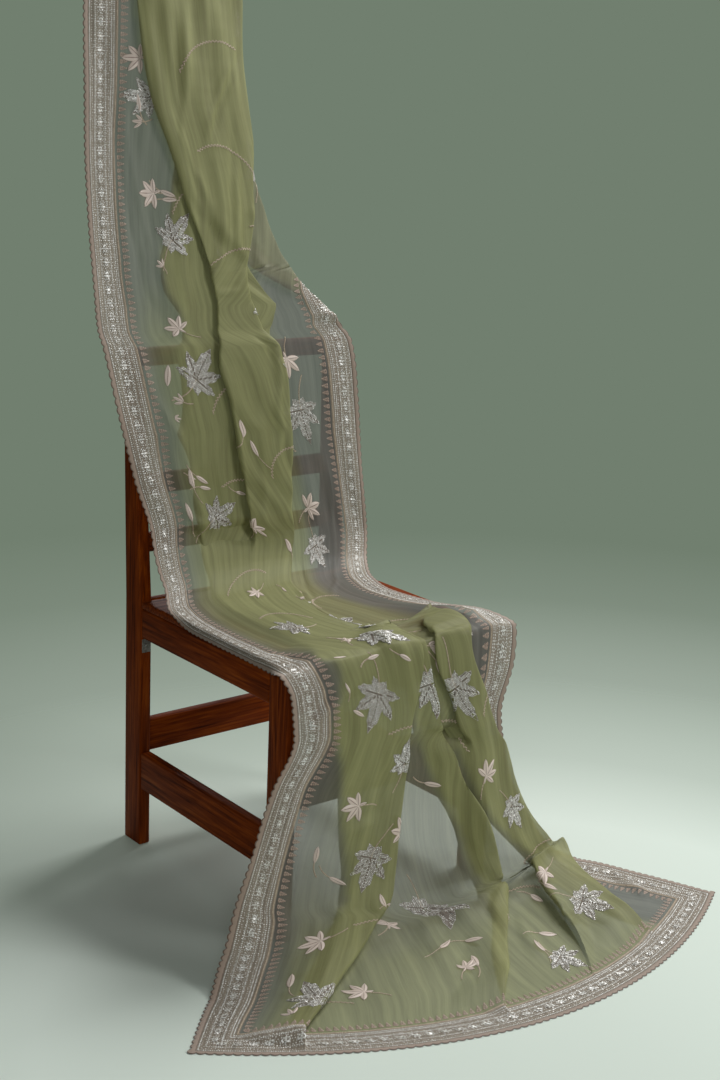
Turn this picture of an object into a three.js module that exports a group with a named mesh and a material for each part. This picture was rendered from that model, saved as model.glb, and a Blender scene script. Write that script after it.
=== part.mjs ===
// An organza saree draped over a wooden side chair. Millimetres, +Z up, the chair faces -Y.
// The cloth comes down from above, leans on the chair's top rail, lies on the seat, falls
// down the front and fans out on the floor. It is one loom width all the way: each cross
// section is built by turning along the width, so pleats fold real cloth behind the front.
import * as THREE from 'three';

// Driving dimensions of the cloth.
const clothWidth = 1100;
const borderWidth = 88;
const wall = 1.2;
const seamGap = 0.3;
const unevenSeamGap = 1.2; // added where the columns of two stretches differ
const fullTurnSpare = 50; // spare cloth a pleat needs before it folds right over
const fullRadiusSpare = 25; // spare cloth at which a fold has its whole radius
const hiddenInset = 100; // hidden layers stay this far inside both edges
const traceStep = 5;
const nearStep = 2;
const nearShare = 0.001;
const stackSlope = 0.25; // how steeply a layer settles beside the edge of the one under it
const endBorderWidth = 88;
const leastColumn = 1.2;
const leastRun = 0.5; // a fold that has no spare cloth keeps this length, and its flats twice that
const arcSteps = 80; // steps that measure a section's width
const leftBorderColumns = [0, 8, 16, 38, 62]; // the first ones follow the drop over the seat's edge
const hemSteps = 3;
const upperFace = 0.5; // faces that point further up than this lie a whole wall above the floor

// Driving dimensions of the chair. Its rails and stretchers stand back from the outer
// faces of the legs by their insets.
const chair = {
  width: 435.3, depth: 475.3, seatTop: 450, legThick: 21.5, legDeep: 50.6,
  seatBoard: 14, seatRailHigh: 52, railThick: 20, railInset: 1,
  topRailTop: 872, topRailHigh: 29, topRailDeep: 32, topRailOverhang: 3.5, topRailInset: 1, topRailRound: 6,
  lean: 34.4, postTopDeep: 30, postRound: 3, backRailInset: 4, gap: 0.3, round: 4,
};
const stretchers = [
  { name: 'stretcher_front', side: 'front', bottom: 217, high: 70, inset: 6 },
  { name: 'stretcher_left', side: 'left', bottom: 107, high: 68, inset: 1 },
  { name: 'stretcher_right', side: 'right', bottom: 107, high: 68, inset: 1 },
  { name: 'stretcher_back', side: 'back', bottom: 171, high: 58, inset: 8 },
];
const backRails = [
  { name: 'back_rail_lower', bottom: 530, high: 32 },
  { name: 'back_rail_middle', bottom: 628, high: 34 },
];

const bracket = { wide: 17, high: 24, thick: 1.5, round: 0.5, below: 2 };

// How the cloth lies, a row every so often along its length, from the hem on the floor
// to the held end. Each row gives the two edges and the middle of the surface that the
// layers rest on, the lift of its face (0 faces the front, 90 faces up) and fold radius.
const rows = [
  { along: 0, left: [-502, -410, 0], middle: [-5, -640, 0], right: [502, -514, 0], lift: 90, fold: 3 },
  { along: 150, left: [-412, -320, 0], middle: [0, -500, 0], right: [450, -388, 0], lift: 90, fold: 4 },
  { along: 270, left: [-358, -276, 40], middle: [5, -385, 0], right: [405, -296, 1], lift: 88, fold: 5 },
  { along: 350, left: [-330, -266, 105], middle: [10, -318, 18], right: [362, -268, 20], lift: 62, fold: 6 },
  { along: 430, left: [-302, -262, 172], middle: [16, -286, 78], right: [304, -264, 86], lift: 18, fold: 6 },
  { along: 560, left: [-262, -261, 280], middle: [20, -268, 212], right: [232, -262, 212], lift: 2, fold: 6 },
  { along: 660, left: [-224, -261, 352], middle: [24, -260, 312], right: [214, -256, 306], lift: 0, fold: 5 },
  { along: 740, left: [-232, -259, 420], middle: [30, -254, 396], right: [240, -254, 388], lift: 4, fold: 4 },
  { along: 790, left: [-246, -245, 452], middle: [34, -245, 454], right: [248, -243, 452], lift: 45, fold: 3 },
  { along: 850, left: [-238, -190, 453], middle: [40, -188, 455], right: [236, -176, 461], lift: 88, fold: 2.5 },
  { along: 950, left: [-236, -95, 453], middle: [40, -90, 455], right: [200, -92, 457], lift: 90, fold: 2.5 },
  { along: 1060, left: [-236, 10, 454], middle: [34, 20, 455], right: [184, 5, 457], lift: 90, fold: 2.5 },
  { along: 1140, left: [-230, 78, 460], middle: [30, 98, 458], right: [206, 84, 458], lift: 80, fold: 2.5 },
  { along: 1210, left: [-206, 140, 490], middle: [24, 158, 488], right: [242, 146, 470], lift: 50, fold: 3 },
  { along: 1280, left: [-206, 176, 560], middle: [16, 184, 555], right: [266, 180, 522], lift: 15, fold: 3 },
  { along: 1380, left: [-232, 190, 660], middle: [8, 192, 655], right: [260, 192, 625], lift: 2, fold: 3 },
  { along: 1500, left: [-262, 201, 785], middle: [0, 202, 775], right: [252, 202, 758], lift: 2, fold: 3 },
  { along: 1590, left: [-279, 214, 882], middle: [-5, 215, 868], right: [240, 214, 866], lift: 8, fold: 3 },
  { along: 1625, left: [-283, 223, 908], middle: [-10, 223, 896], right: [212, 224, 902], lift: 12, fold: 3.5 },
  { along: 1750, left: [-280, 252, 1020], middle: [-45, 250, 1014], right: [114, 262, 1012], lift: 10, fold: 4 },
  { along: 1900, left: [-270, 288, 1162], middle: [-70, 284, 1160], right: [70, 300, 1158], lift: 10, fold: 5 },
  { along: 2060, left: [-250, 326, 1318], middle: [-60, 322, 1318], right: [68, 340, 1318], lift: 10, fold: 5 },
  { along: 2330, left: [-214, 390, 1580], middle: [-40, 388, 1580], right: [96, 404, 1580], lift: 10, fold: 5 },
];

// Pleats, from the left edge to the right. turns +1: the front layer ends at a right-hand
// edge and the cloth runs back behind it; -1: the next layer comes out in front with its
// left edge showing. back: columns across the hidden layer. Rows: place along the cloth,
// that edge as a share of the width, and this pleat's share of the spare cloth.
const pleats = {
  bunchLeft: {
    turns: -1,
    back: 2,
    rows: [
      [200, 0.40, 0], [1230, 0.41, 0], [1300, 0.42, 0.18], [1500, 0.43, 0.26], [1556, 0.41, 0.27],
      [1640, 0.477, 0.30], [1680, 0.52, 0.31], [1744, 0.555, 0.33], [1800, 0.546, 0.34],
      [1932, 0.458, 0.34], [2012, 0.374, 0.34], [2172, 0.296, 0.34], [2330, 0.24, 0.34],
    ],
  },
  panelEdge: {
    turns: 1,
    back: 4,
    rows: [
      [60, 0.15, 0.40], [196, 0.212, 0.46], [296, 0.293, 0.46], [388, 0.40, 0.45], [476, 0.461, 0.45],
      [584, 0.50, 0.45], [716, 0.508, 0.46], [776, 0.53, 0.45], [840, 0.51, 0.44], [956, 0.50, 0.50],
      [1108, 0.60, 0.70], [1240, 0.62, 0.70], [1288, 0.60, 0.66], [1416, 0.64, 0.62], [1532, 0.66, 0.60],
      [1624, 0.64, 0.50], [1696, 0.683, 0.42], [1852, 0.90, 0.36], [1968, 0.965, 0.34], [2330, 0.965, 0.34],
    ],
  },
  middlePanel: {
    turns: 1,
    back: 1,
    rows: [
      [60, 0.45, 0.20], [200, 0.56, 0.22], [350, 0.74, 0.22], [448, 0.785, 0.20], [488, 0.79, 0.18],
      [600, 0.724, 0.17], [644, 0.681, 0.15], [700, 0.62, 0.13], [776, 0.56, 0.14], [850, 0.57, 0.16],
      [960, 0.62, 0.14], [1100, 0.68, 0], [2330, 0.70, 0],
    ],
  },
  rollLeft: {
    turns: -1,
    back: 1,
    rows: [
      [60, 0.62, 0.12], [200, 0.72, 0.13], [350, 0.84, 0.14], [430, 0.87, 0.14], [524, 0.842, 0.13],
      [620, 0.774, 0.13], [704, 0.69, 0.12], [768, 0.60, 0.10], [850, 0.64, 0.08], [960, 0.70, 0.04],
      [1060, 0.74, 0], [2330, 0.76, 0],
    ],
  },
  rollRight: {
    turns: 1,
    back: 2,
    rows: [
      [60, 0.80, 0.20], [216, 0.86, 0.24], [320, 0.95, 0.32], [412, 0.985, 0.36], [604, 0.98, 0.36],
      [650, 0.92, 0.30], [696, 0.848, 0.27], [740, 0.77, 0.24], [768, 0.73, 0.22], [850, 0.78, 0.20],
      [960, 0.80, 0.10], [1080, 0.82, 0], [2330, 0.82, 0],
    ],
  },
};

// Cloth turned under at the right edge above the chair: place along, width turned under.
const turnUnder = [[1590, 0], [1680, 30], [1750, 95], [1900, 170], [2060, 200], [2330, 210]];

// Rounded swells that all the layers share: place along, centre as a share of the width,
// half width and height.
const swells = [
  // the tube of cloth down the right of the fall
  [[200, 0.74, 45, 6], [300, 0.80, 45, 14], [430, 0.84, 45, 16], [560, 0.84, 45, 14], [700, 0.78, 40, 12],
    [790, 0.74, 40, 8], [850, 0.74, 40, 0]],
  // the hump where that tube starts on the seat
  [[700, 0.84, 30, 0], [760, 0.86, 30, 4], [800, 0.87, 34, 12], [850, 0.86, 38, 18], [920, 0.84, 36, 12],
    [1000, 0.84, 30, 0]],
];

// The chair's left edge, over which the border drops: place along, share of the drop.
const seatDrop = { edge: -220, inward: 0.62, down: 0.85, rows: [[790, 0], [850, 1], [1080, 1], [1170, 0]] };

// The stretches that show, each with its own pleats. flats: columns across each flat
// between pleats. Those in front share their pleats, and so do the two above the seat.
const frontPleats = { pleats: ['panelEdge', 'middlePanel', 'rollLeft', 'rollRight'], flats: [5, 4, 2, 4, 2] };
const backPleats = { pleats: ['bunchLeft', 'panelEdge'], flats: [4, 4, 4] };
const stretches = [
  { name: 'floor', from: 0, to: 200, steps: 4, rightColumns: 4, ...frontPleats },
  { name: 'fall', from: 200, to: 790, steps: 15, rightColumns: 4, ...frontPleats },
  { name: 'seat', from: 790 + seamGap, to: 1210, steps: 10, rightColumns: 4, ...frontPleats },
  { name: 'back', from: 1210 + unevenSeamGap, to: 1590, steps: 9, rightColumns: 4, ...backPleats },
  { name: 'upper', from: 1590 + seamGap, to: 2330, steps: 13, rightColumns: 10, ...backPleats, flats: [4, 4, 5],
    foldsAtSeam: true, extraPlaces: [1720, 1732, 1743] },
];
const bendColumns = 3; // columns across a fold
const underColumns = 2; // columns across the cloth turned under

const colours = { cloth: 0x8f9a6a, border: 0xb4a79c, wood: 0x5a2a14, metal: 0x9a9a98 };

// Smooth curve through a table's rows that never overshoots them. column 0 is the place.
function tableAt(table, place, column) {
  const last = table.length - 1;
  const at = Math.min(Math.max(place, table[0][0]), table[last][0]);
  const slopes = [];
  for (let i = 0; i < last; i++) {
    slopes.push((table[i + 1][column] - table[i][column]) / (table[i + 1][0] - table[i][0]));
  }
  const tangent = (i) => {
    if (i === 0) return slopes[0];
    if (i === last) return slopes[last - 1];
    if (slopes[i - 1] * slopes[i] <= 0) return 0;
    const before = table[i][0] - table[i - 1][0];
    const after = table[i + 1][0] - table[i][0];
    const weightBefore = 2 * after + before;
    const weightAfter = after + 2 * before;
    return (weightBefore + weightAfter) / (weightBefore / slopes[i - 1] + weightAfter / slopes[i]);
  };
  let i = 0;
  while (i < last - 1 && at >= table[i + 1][0]) i++;
  const span = table[i + 1][0] - table[i][0];
  const t = (at - table[i][0]) / span;
  return (1 + 2 * t) * (1 - t) ** 2 * table[i][column] + t * (1 - t) ** 2 * span * tangent(i)
    + t * t * (3 - 2 * t) * table[i + 1][column] + t * t * (t - 1) * span * tangent(i + 1);
}

const smooth = (from, to, value) => {
  const t = Math.min(Math.max((value - from) / (to - from), 0), 1);
  return t * t * (3 - 2 * t);
};

const flatRows = rows.map((row) => [row.along, ...row.left, ...row.middle, ...row.right, row.lift, row.fold]);

// The surface that the layers rest on, at one place along the cloth: a parabola through
// the left edge, the middle and the right edge, with its length measured in steps.
function baseAt(along) {
  const corner = (first) => new THREE.Vector3(...[0, 1, 2].map((k) => tableAt(flatRows, along, first + k)));
  const [left, middle, right] = [corner(1), corner(4), corner(7)];
  const point = (t) => new THREE.Vector3()
    .addScaledVector(left, (1 - t) * (1 - 2 * t))
    .addScaledVector(middle, 4 * t * (1 - t))
    .addScaledVector(right, t * (2 * t - 1));
  const arc = [0];
  for (let i = 1; i <= arcSteps; i++) {
    arc.push(arc[i - 1] + point(i / arcSteps).distanceTo(point((i - 1) / arcSteps)));
  }
  const shareAt = (length) => {
    let i = 0;
    while (i < arcSteps - 1 && arc[i + 1] < length) i++;
    return Math.min(Math.max((i + (length - arc[i]) / (arc[i + 1] - arc[i])) / arcSteps, 0), 1);
  };
  const [lift, fold] = [tableAt(flatRows, along, 10), tableAt(flatRows, along, 11)];
  return { point, width: arc[arcSteps], shareAt, lift, fold };
}

// One cross section: how far across the cloth its columns lie, and the point at any place across.
function sectionAt(along, stretch) {
  const base = baseAt(along);
  const width = base.width;
  const above = stretch.pleats.includes('bunchLeft');
  const under = above ? tableAt(turnUnder, along, 1) : 0;
  const spare = Math.max(0, (clothWidth - under - width) / 2);
  const folds = stretch.pleats.map((name) => ({
    turns: pleats[name].turns,
    edge: tableAt(pleats[name].rows, along, 1) * width,
    share: tableAt(pleats[name].rows, along, 2),
    back: pleats[name].back,
  }));
  const shares = folds.reduce((sum, fold) => sum + fold.share, 0) || 1;

  const runs = []; // length, turning angle at both ends, columns
  const addRun = (length, from, to, columns) => runs.push({ length, from, to, columns });
  let reached = 0;
  folds.forEach((fold, i) => {
    const room = fold.turns > 0 ? fold.edge - hiddenInset : width - hiddenInset - fold.edge;
    const back = Math.max(Math.min((fold.share / shares) * spare, room), 0);
    const angle = Math.PI * smooth(0, fullTurnSpare, back) * fold.turns;
    const bend = Math.max(base.fold * smooth(0, fullRadiusSpare, back) * Math.abs(angle), leastRun);
    const end = fold.turns > 0 ? fold.edge : fold.edge + back;
    const flat = Math.max(end - reached, 2 * leastRun);
    addRun(flat, 0, 0, stretch.flats[i]);
    addRun(bend, 0, angle, bendColumns);
    addRun(Math.max(back, leastRun), angle, angle, fold.back);
    addRun(bend, angle, 0, bendColumns);
    reached += flat + back * Math.cos(angle);
  });
  addRun(Math.max(width - reached, 2 * leastRun), 0, 0, stretch.flats[folds.length]);
  if (above) {
    const angle = Math.PI * smooth(0, fullRadiusSpare, under);
    addRun(Math.max(base.fold * angle, leastRun), 0, angle, bendColumns);
    addRun(Math.max(under, leastRun), angle, angle, underColumns);
  }

  // Walk along the runs in short steps. trace holds every step, columns only their ends.
  const total = runs.reduce((sum, run) => sum + run.length, 0);
  const trace = [{ across: 0, x: 0, depth: 0 }];
  const columns = [trace[0]];
  for (const run of runs) {
    for (let k = 0; k < run.columns; k++) {
      const turn = (run.to - run.from) / run.columns;
      const parts = Math.max(2, Math.ceil(run.length / run.columns / traceStep));
      const step = run.length / run.columns / parts;
      for (let part = 0; part < parts; part++) {
        const heading = run.from + turn * (k + (part + 0.5) / parts);
        const { across, x, depth } = trace.at(-1);
        trace.push({
          across: across + (step * clothWidth) / total,
          x: x + step * Math.cos(heading),
          depth: depth - step * Math.sin(heading),
        });
      }
      columns.push(trace.at(-1));
    }
  }
  const reach = Math.max(...trace.map((point) => point.x));
  for (const point of trace) point.x *= width / reach;
  // Layers settle: each point drops by the lowest layer under it or close beside it.
  const settle = (point) => point.depth
    - Math.min(...trace.map((other) => other.depth + stackSlope * Math.abs(point.x - other.x)));

  const liftAngle = THREE.MathUtils.degToRad(base.lift);
  const facing = new THREE.Vector3(0, -Math.cos(liftAngle), Math.sin(liftAngle));
  const drop = tableAt(seatDrop.rows, along, 1);
  const pointOf = ({ x, depth }) => {
    const swollen = swells.filter((swell) => along > swell[0][0] && along < swell.at(-1)[0]);
    const rise = swollen.reduce((height, swell) => {
      const off = (x - tableAt(swell, along, 1) * width) / tableAt(swell, along, 2);
      return height + tableAt(swell, along, 3) * Math.exp(-off * off);
    }, settle({ x, depth }));
    const t = base.shareAt(x);
    const tangent = base.point(Math.min(t + nearShare, 1)).sub(base.point(Math.max(t - nearShare, 0)));
    tangent.normalize();
    const normal = facing.clone().addScaledVector(tangent, -facing.dot(tangent)).normalize();
    const point = base.point(t).addScaledVector(normal, rise);
    const past = Math.max(0, seatDrop.edge - point.x) * drop;
    point.x += past * seatDrop.inward;
    point.z = Math.max(point.z - past * seatDrop.down, wall / 2);
    return point;
  };
  const pointAt = (across) => {
    let i = 0;
    while (i < trace.length - 2 && trace[i + 1].across < across) i++;
    const share = (across - trace[i].across) / (trace[i + 1].across - trace[i].across);
    const between = (key) => trace[i][key] + share * (trace[i + 1][key] - trace[i][key]);
    return pointOf({ x: between('x'), depth: between('depth') });
  };
  return { columns: columns.map((column) => column.across), pointAt };
}

function evenColumns(from, to, count) {
  return Array.from({ length: count + 1 }, (_, j) => from + ((to - from) * j) / count);
}

// The places along the cloth where a strip of a stretch has its sections.
function placesAlong(from, to, steps, extra = []) {
  const start = from === 0 ? 0 : from + seamGap / 2;
  const even = evenColumns(start, to - seamGap / 2, steps);
  return [...even, ...extra].sort((a, b) => a - b);
}

// Columns of a strip that follow the folds, pushed apart so that none is thinner than the least.
function foldColumns(section, from, to) {
  const targets = [from, ...section.columns.slice(1, -1), to];
  const last = targets.length - 1;
  for (let j = 1; j <= last; j++) targets[j] = Math.max(targets[j], targets[j - 1] + leastColumn);
  targets[last] = to;
  for (let j = last - 1; j > 0; j--) targets[j] = Math.min(targets[j], targets[j + 1] - leastColumn);
  return targets;
}

// A strip's points, a row for each place and a column for each target, with the way the
// cloth faces at each. It is worked out from the cloth close by, also past the strip's own
// edges, so that two strips meet with the same faces.
function stripSheet(stretch, places, columnsFor) {
  return places.map((along) => {
    const [before, section, after] = [-nearStep, 0, nearStep].map((step) => sectionAt(along + step, stretch));
    const [targetsBefore, targets, targetsAfter] = [before, section, after].map(columnsFor);
    return targets.map((target, j) => {
      const acrossway = section.pointAt(Math.min(target + nearStep, clothWidth))
        .sub(section.pointAt(Math.max(target - nearStep, 0)));
      const alongway = after.pointAt(targetsAfter[j]).sub(before.pointAt(targetsBefore[j]));
      return { point: section.pointAt(target), facing: acrossway.cross(alongway).normalize() };
    });
  });
}

// A closed wall around a strip: two faces, half the wall to each side of its points.
function wallGeometry(sheet) {
  const rowsCount = sheet.length;
  const columnsCount = sheet[0].length;
  const positions = [];
  for (const side of [1, -1]) {
    for (const { point, facing } of sheet.flat()) {
      const face = point.clone().addScaledVector(facing, (side * wall) / 2);
      const lowest = side > 0 && facing.z > upperFace ? wall : 0;
      positions.push(face.x, face.y, Math.max(face.z, lowest));
    }
  }
  const index = [];
  const half = rowsCount * columnsCount;
  const id = (side, i, j) => side * half + i * columnsCount + j;
  const quad = (a, b, c, d) => index.push(a, b, c, a, c, d);
  for (let i = 0; i < rowsCount - 1; i++) {
    for (let j = 0; j < columnsCount - 1; j++) {
      quad(id(0, i, j), id(0, i, j + 1), id(0, i + 1, j + 1), id(0, i + 1, j));
      quad(id(1, i, j), id(1, i + 1, j), id(1, i + 1, j + 1), id(1, i, j + 1));
    }
  }
  for (let j = 0; j < columnsCount - 1; j++) {
    quad(id(0, 0, j), id(1, 0, j), id(1, 0, j + 1), id(0, 0, j + 1));
    const end = rowsCount - 1;
    quad(id(0, end, j), id(0, end, j + 1), id(1, end, j + 1), id(1, end, j));
  }
  for (let i = 0; i < rowsCount - 1; i++) {
    quad(id(0, i, 0), id(0, i + 1, 0), id(1, i + 1, 0), id(1, i, 0));
    const end = columnsCount - 1;
    quad(id(0, i, end), id(1, i, end), id(1, i + 1, end), id(0, i + 1, end));
  }
  const geometry = new THREE.BufferGeometry();
  geometry.setAttribute('position', new THREE.Float32BufferAttribute(positions, 3));
  geometry.setIndex(index);
  geometry.computeVertexNormals();
  return geometry;
}

function finish(color, roughness, metalness = 0) {
  return new THREE.MeshStandardMaterial({ color, roughness, metalness });
}
const clothMaterial = finish(colours.cloth, 0.45);
const borderMaterial = finish(colours.border, 0.4, 0.2);
const woodMaterial = finish(colours.wood, 0.35);
const metalMaterial = finish(colours.metal, 0.4, 1);

const group = new THREE.Group();
function add(name, geometry, material, parent = group) {
  const mesh = new THREE.Mesh(geometry, material);
  mesh.name = name;
  parent.add(mesh);
  return mesh;
}

// The cloth: a body panel between its two woven borders in every stretch that shows, and
// the end border that runs the whole width of the hem.
function addCloth() {
  const leftSeam = borderWidth;
  const rightSeam = clothWidth - borderWidth;
  const columnsOf = (stretch) => {
    const half = (stretch.foldsAtSeam ? unevenSeamGap : seamGap) / 2;
    return {
      left: () => [...leftBorderColumns, leftSeam - seamGap / 2],
      body: (section) => foldColumns(section, leftSeam + seamGap / 2, rightSeam - half),
      right: () => evenColumns(rightSeam + half, clothWidth, stretch.rightColumns),
    };
  };
  for (const stretch of stretches) {
    const start = stretch.from === 0 ? endBorderWidth : stretch.from;
    const places = placesAlong(start, stretch.to, stretch.steps, stretch.extraPlaces);
    const columns = columnsOf(stretch);
    const strip = (columnsFor) => wallGeometry(stripSheet(stretch, places, columnsFor));
    add(`cloth_${stretch.name}`, strip(columns.body), clothMaterial);
    add(`border_left_${stretch.name}`, strip(columns.left), borderMaterial);
    add(`border_right_${stretch.name}`, strip(columns.right), borderMaterial);
  }
  const [hemStretch] = stretches;
  const hemColumns = columnsOf(hemStretch);
  const wholeWidth = (section) => [hemColumns.left(), hemColumns.body(section), hemColumns.right()].flat();
  const hemPlaces = placesAlong(0, endBorderWidth, hemSteps);
  add('border_end_hem', wallGeometry(stripSheet(hemStretch, hemPlaces, wholeWidth)), borderMaterial);
}

// A rounded bar along Z, centred on the origin.
function bar(sizeX, sizeY, length, round = chair.round) {
  const shape = new THREE.Shape();
  const [x, y] = [sizeX / 2, sizeY / 2];
  shape.moveTo(-x + round, -y);
  shape.lineTo(x - round, -y);
  shape.absarc(x - round, -y + round, round, -Math.PI / 2, 0);
  shape.lineTo(x, y - round);
  shape.absarc(x - round, y - round, round, 0, Math.PI / 2);
  shape.lineTo(-x + round, y);
  shape.absarc(-x + round, y - round, round, Math.PI / 2, Math.PI);
  shape.lineTo(-x, -y + round);
  shape.absarc(-x + round, -y + round, round, Math.PI, 1.5 * Math.PI);
  const bevel = round / 2;
  const geometry = new THREE.ExtrudeGeometry(shape, {
    depth: length - 2 * bevel, curveSegments: 2, bevelThickness: bevel, bevelSize: bevel,
    bevelOffset: -bevel, bevelSegments: 1,
  });
  return geometry.translate(0, 0, -length / 2 + bevel);
}

const alongX = [0, Math.PI / 2, 0];
const alongY = [Math.PI / 2, 0, 0];
const sideways = [Math.PI / 2, 0, Math.PI / 2]; // a bar along Y whose first size stands upright
function addBar(name, geometry, position, rotation = [0, 0, 0], material = woodMaterial) {
  const mesh = add(name, geometry, material);
  mesh.position.set(...position);
  mesh.rotation.set(...rotation);
}

// The chair: two legs, two posts that lean back above the seat, rails, stretchers and board.
function addChair() {
  const c = chair;
  const outerX = c.width / 2 - c.legThick / 2;
  const frontY = -c.depth / 2 + c.legDeep / 2;
  const railTop = c.seatTop - c.seatBoard - c.gap;
  const postFront = c.depth / 2 - c.legDeep;
  const postTop = c.topRailTop - c.topRailHigh - c.gap;
  const leanAt = (z) => (c.lean * (z - c.seatTop)) / (c.topRailTop - c.seatTop);
  const between = c.width - 2 * c.legThick - 2 * c.gap;
  const sideLength = c.depth - 2 * c.legDeep - 2 * c.gap;
  const railZ = railTop - c.seatRailHigh / 2;
  const sideRailX = c.width / 2 - c.railThick / 2;
  const frontRailY = -c.depth / 2 + c.railThick / 2;
  const backRailY = postFront + c.railThick / 2;

  for (const [side, sign] of [['left', -1], ['right', 1]]) {
    addBar(`leg_front_${side}`, bar(c.legThick, c.legDeep, railTop), [sign * outerX, frontY, railTop / 2]);

    const profile = new THREE.Shape([
      new THREE.Vector2(postFront, 0),
      new THREE.Vector2(c.depth / 2, 0),
      new THREE.Vector2(c.depth / 2, c.seatTop),
      new THREE.Vector2(postFront + leanAt(postTop) + c.postTopDeep, postTop),
      new THREE.Vector2(postFront + leanAt(postTop), postTop),
      new THREE.Vector2(postFront, c.seatTop),
    ]);
    const bevel = c.postRound;
    const post = new THREE.ExtrudeGeometry(profile, {
      depth: c.legThick - 2 * bevel, bevelThickness: bevel, bevelSize: bevel, bevelOffset: -bevel,
      bevelSegments: 2,
    });
    // the profile is drawn in Y and Z: turn its plane upright and run its depth along X
    post.rotateX(Math.PI / 2).rotateZ(Math.PI / 2);
    addBar(`post_back_${side}`, post, [sign * outerX - c.legThick / 2 + bevel, 0, 0]);

    addBar(`seat_rail_${side}`, bar(c.seatRailHigh, c.railThick, sideLength),
      [sign * (sideRailX - c.railInset), 0, railZ], sideways);

    const plate = bar(bracket.wide, bracket.high, bracket.thick, bracket.round);
    const plateZ = railTop - c.seatRailHigh - bracket.below - bracket.high / 2;
    const plateY = postFront - c.gap - bracket.thick / 2;
    addBar(`bracket_${side}`, plate, [sign * outerX, plateY, plateZ], alongY, metalMaterial);
  }

  addBar('seat_rail_front', bar(c.seatRailHigh, c.railThick, between),
    [0, frontRailY + c.railInset, railZ], alongX);
  addBar('seat_rail_back', bar(c.seatRailHigh + c.seatBoard, c.railThick, between),
    [0, backRailY, c.seatTop - (c.seatRailHigh + c.seatBoard) / 2], alongX);

  const boardDeep = postFront + c.depth / 2 - c.gap;
  addBar('seat_board', bar(c.width, boardDeep, c.seatBoard),
    [0, (boardDeep - c.depth) / 2, c.seatTop - c.seatBoard / 2]);

  const topRailFront = postFront + c.lean - c.topRailInset;
  addBar('top_rail', bar(c.topRailHigh, c.topRailDeep, c.width + 2 * c.topRailOverhang, c.topRailRound),
    [0, topRailFront + c.topRailDeep / 2, c.topRailTop - c.topRailHigh / 2], alongX);
  for (const rail of backRails) {
    const z = rail.bottom + rail.high / 2;
    addBar(rail.name, bar(rail.high, c.railThick, between),
      [0, backRailY + leanAt(z) + c.backRailInset, z], alongX);
  }

  for (const stretcher of stretchers) {
    const z = stretcher.bottom + stretcher.high / 2;
    const places = {
      front: [0, frontRailY + stretcher.inset, z],
      back: [0, backRailY + stretcher.inset, z],
      left: [stretcher.inset - sideRailX, 0, z],
      right: [sideRailX - stretcher.inset, 0, z],
    };
    const across = stretcher.side === 'front' || stretcher.side === 'back';
    addBar(stretcher.name, bar(stretcher.high, c.railThick, across ? between : sideLength),
      places[stretcher.side], across ? alongX : sideways);
  }
}

addCloth();
addChair();

// The origin is on the floor, under the middle of the whole arrangement.
const bounds = new THREE.Box3().setFromObject(group, true);
const middle = bounds.getCenter(new THREE.Vector3());
group.position.set(-middle.x, -middle.y, 0);

export default group;
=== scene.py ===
import math

import bmesh
import bpy
import numpy as np
from mathutils import Matrix, Vector


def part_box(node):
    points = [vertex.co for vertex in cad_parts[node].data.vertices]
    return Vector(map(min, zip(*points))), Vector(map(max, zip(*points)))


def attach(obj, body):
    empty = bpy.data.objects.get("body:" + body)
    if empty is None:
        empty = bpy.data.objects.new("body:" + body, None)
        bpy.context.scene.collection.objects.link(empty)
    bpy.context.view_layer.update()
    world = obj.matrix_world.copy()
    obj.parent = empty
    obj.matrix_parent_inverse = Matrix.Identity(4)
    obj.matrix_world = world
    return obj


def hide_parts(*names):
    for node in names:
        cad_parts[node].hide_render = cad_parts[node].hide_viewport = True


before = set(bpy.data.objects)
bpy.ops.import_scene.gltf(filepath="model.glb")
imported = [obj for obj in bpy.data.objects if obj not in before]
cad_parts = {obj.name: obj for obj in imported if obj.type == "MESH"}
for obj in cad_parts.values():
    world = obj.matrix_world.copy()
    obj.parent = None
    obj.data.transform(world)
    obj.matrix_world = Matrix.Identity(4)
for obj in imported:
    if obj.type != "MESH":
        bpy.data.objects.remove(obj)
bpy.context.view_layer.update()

bpy.ops.object.select_all(action="DESELECT")
mm = 0.001


def hexColour(text):  # sRGB hex to the linear colour that shaders take
    parts = [int(text[i:i + 2], 16) / 255 for i in (1, 3, 5)]
    return (*[c / 12.92 if c <= 0.04045 else ((c + 0.055) / 1.055) ** 2.4 for c in parts], 1)


def addNode(material, kind, settings=None, inputs=None, links=None):
    nodes = material.node_tree
    node = nodes.nodes.new(kind)
    for name, value in (settings or {}).items():
        setattr(node, name, value)
    for name, value in (inputs or {}).items():
        node.inputs[name].default_value = value
    for name, (source, output) in (links or {}).items():
        nodes.links.new(source.outputs[output], node.inputs[name])
    return node


def newMaterial(name):
    material = bpy.data.materials.new(name)
    material.use_nodes = True
    return material, material.node_tree.nodes["Principled BSDF"]


def colourRamp(material, source, output, stops):
    ramp = addNode(material, "ShaderNodeValToRGB", links={"Fac": (source, output)})
    elements = ramp.color_ramp.elements
    while len(elements) < len(stops):
        elements.new(0.5)
    for element, (place, colour) in zip(elements, stops):
        element.position = place
        element.color = hexColour(colour) if isinstance(colour, str) else (colour, colour, colour, 1)
    return ramp


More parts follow.
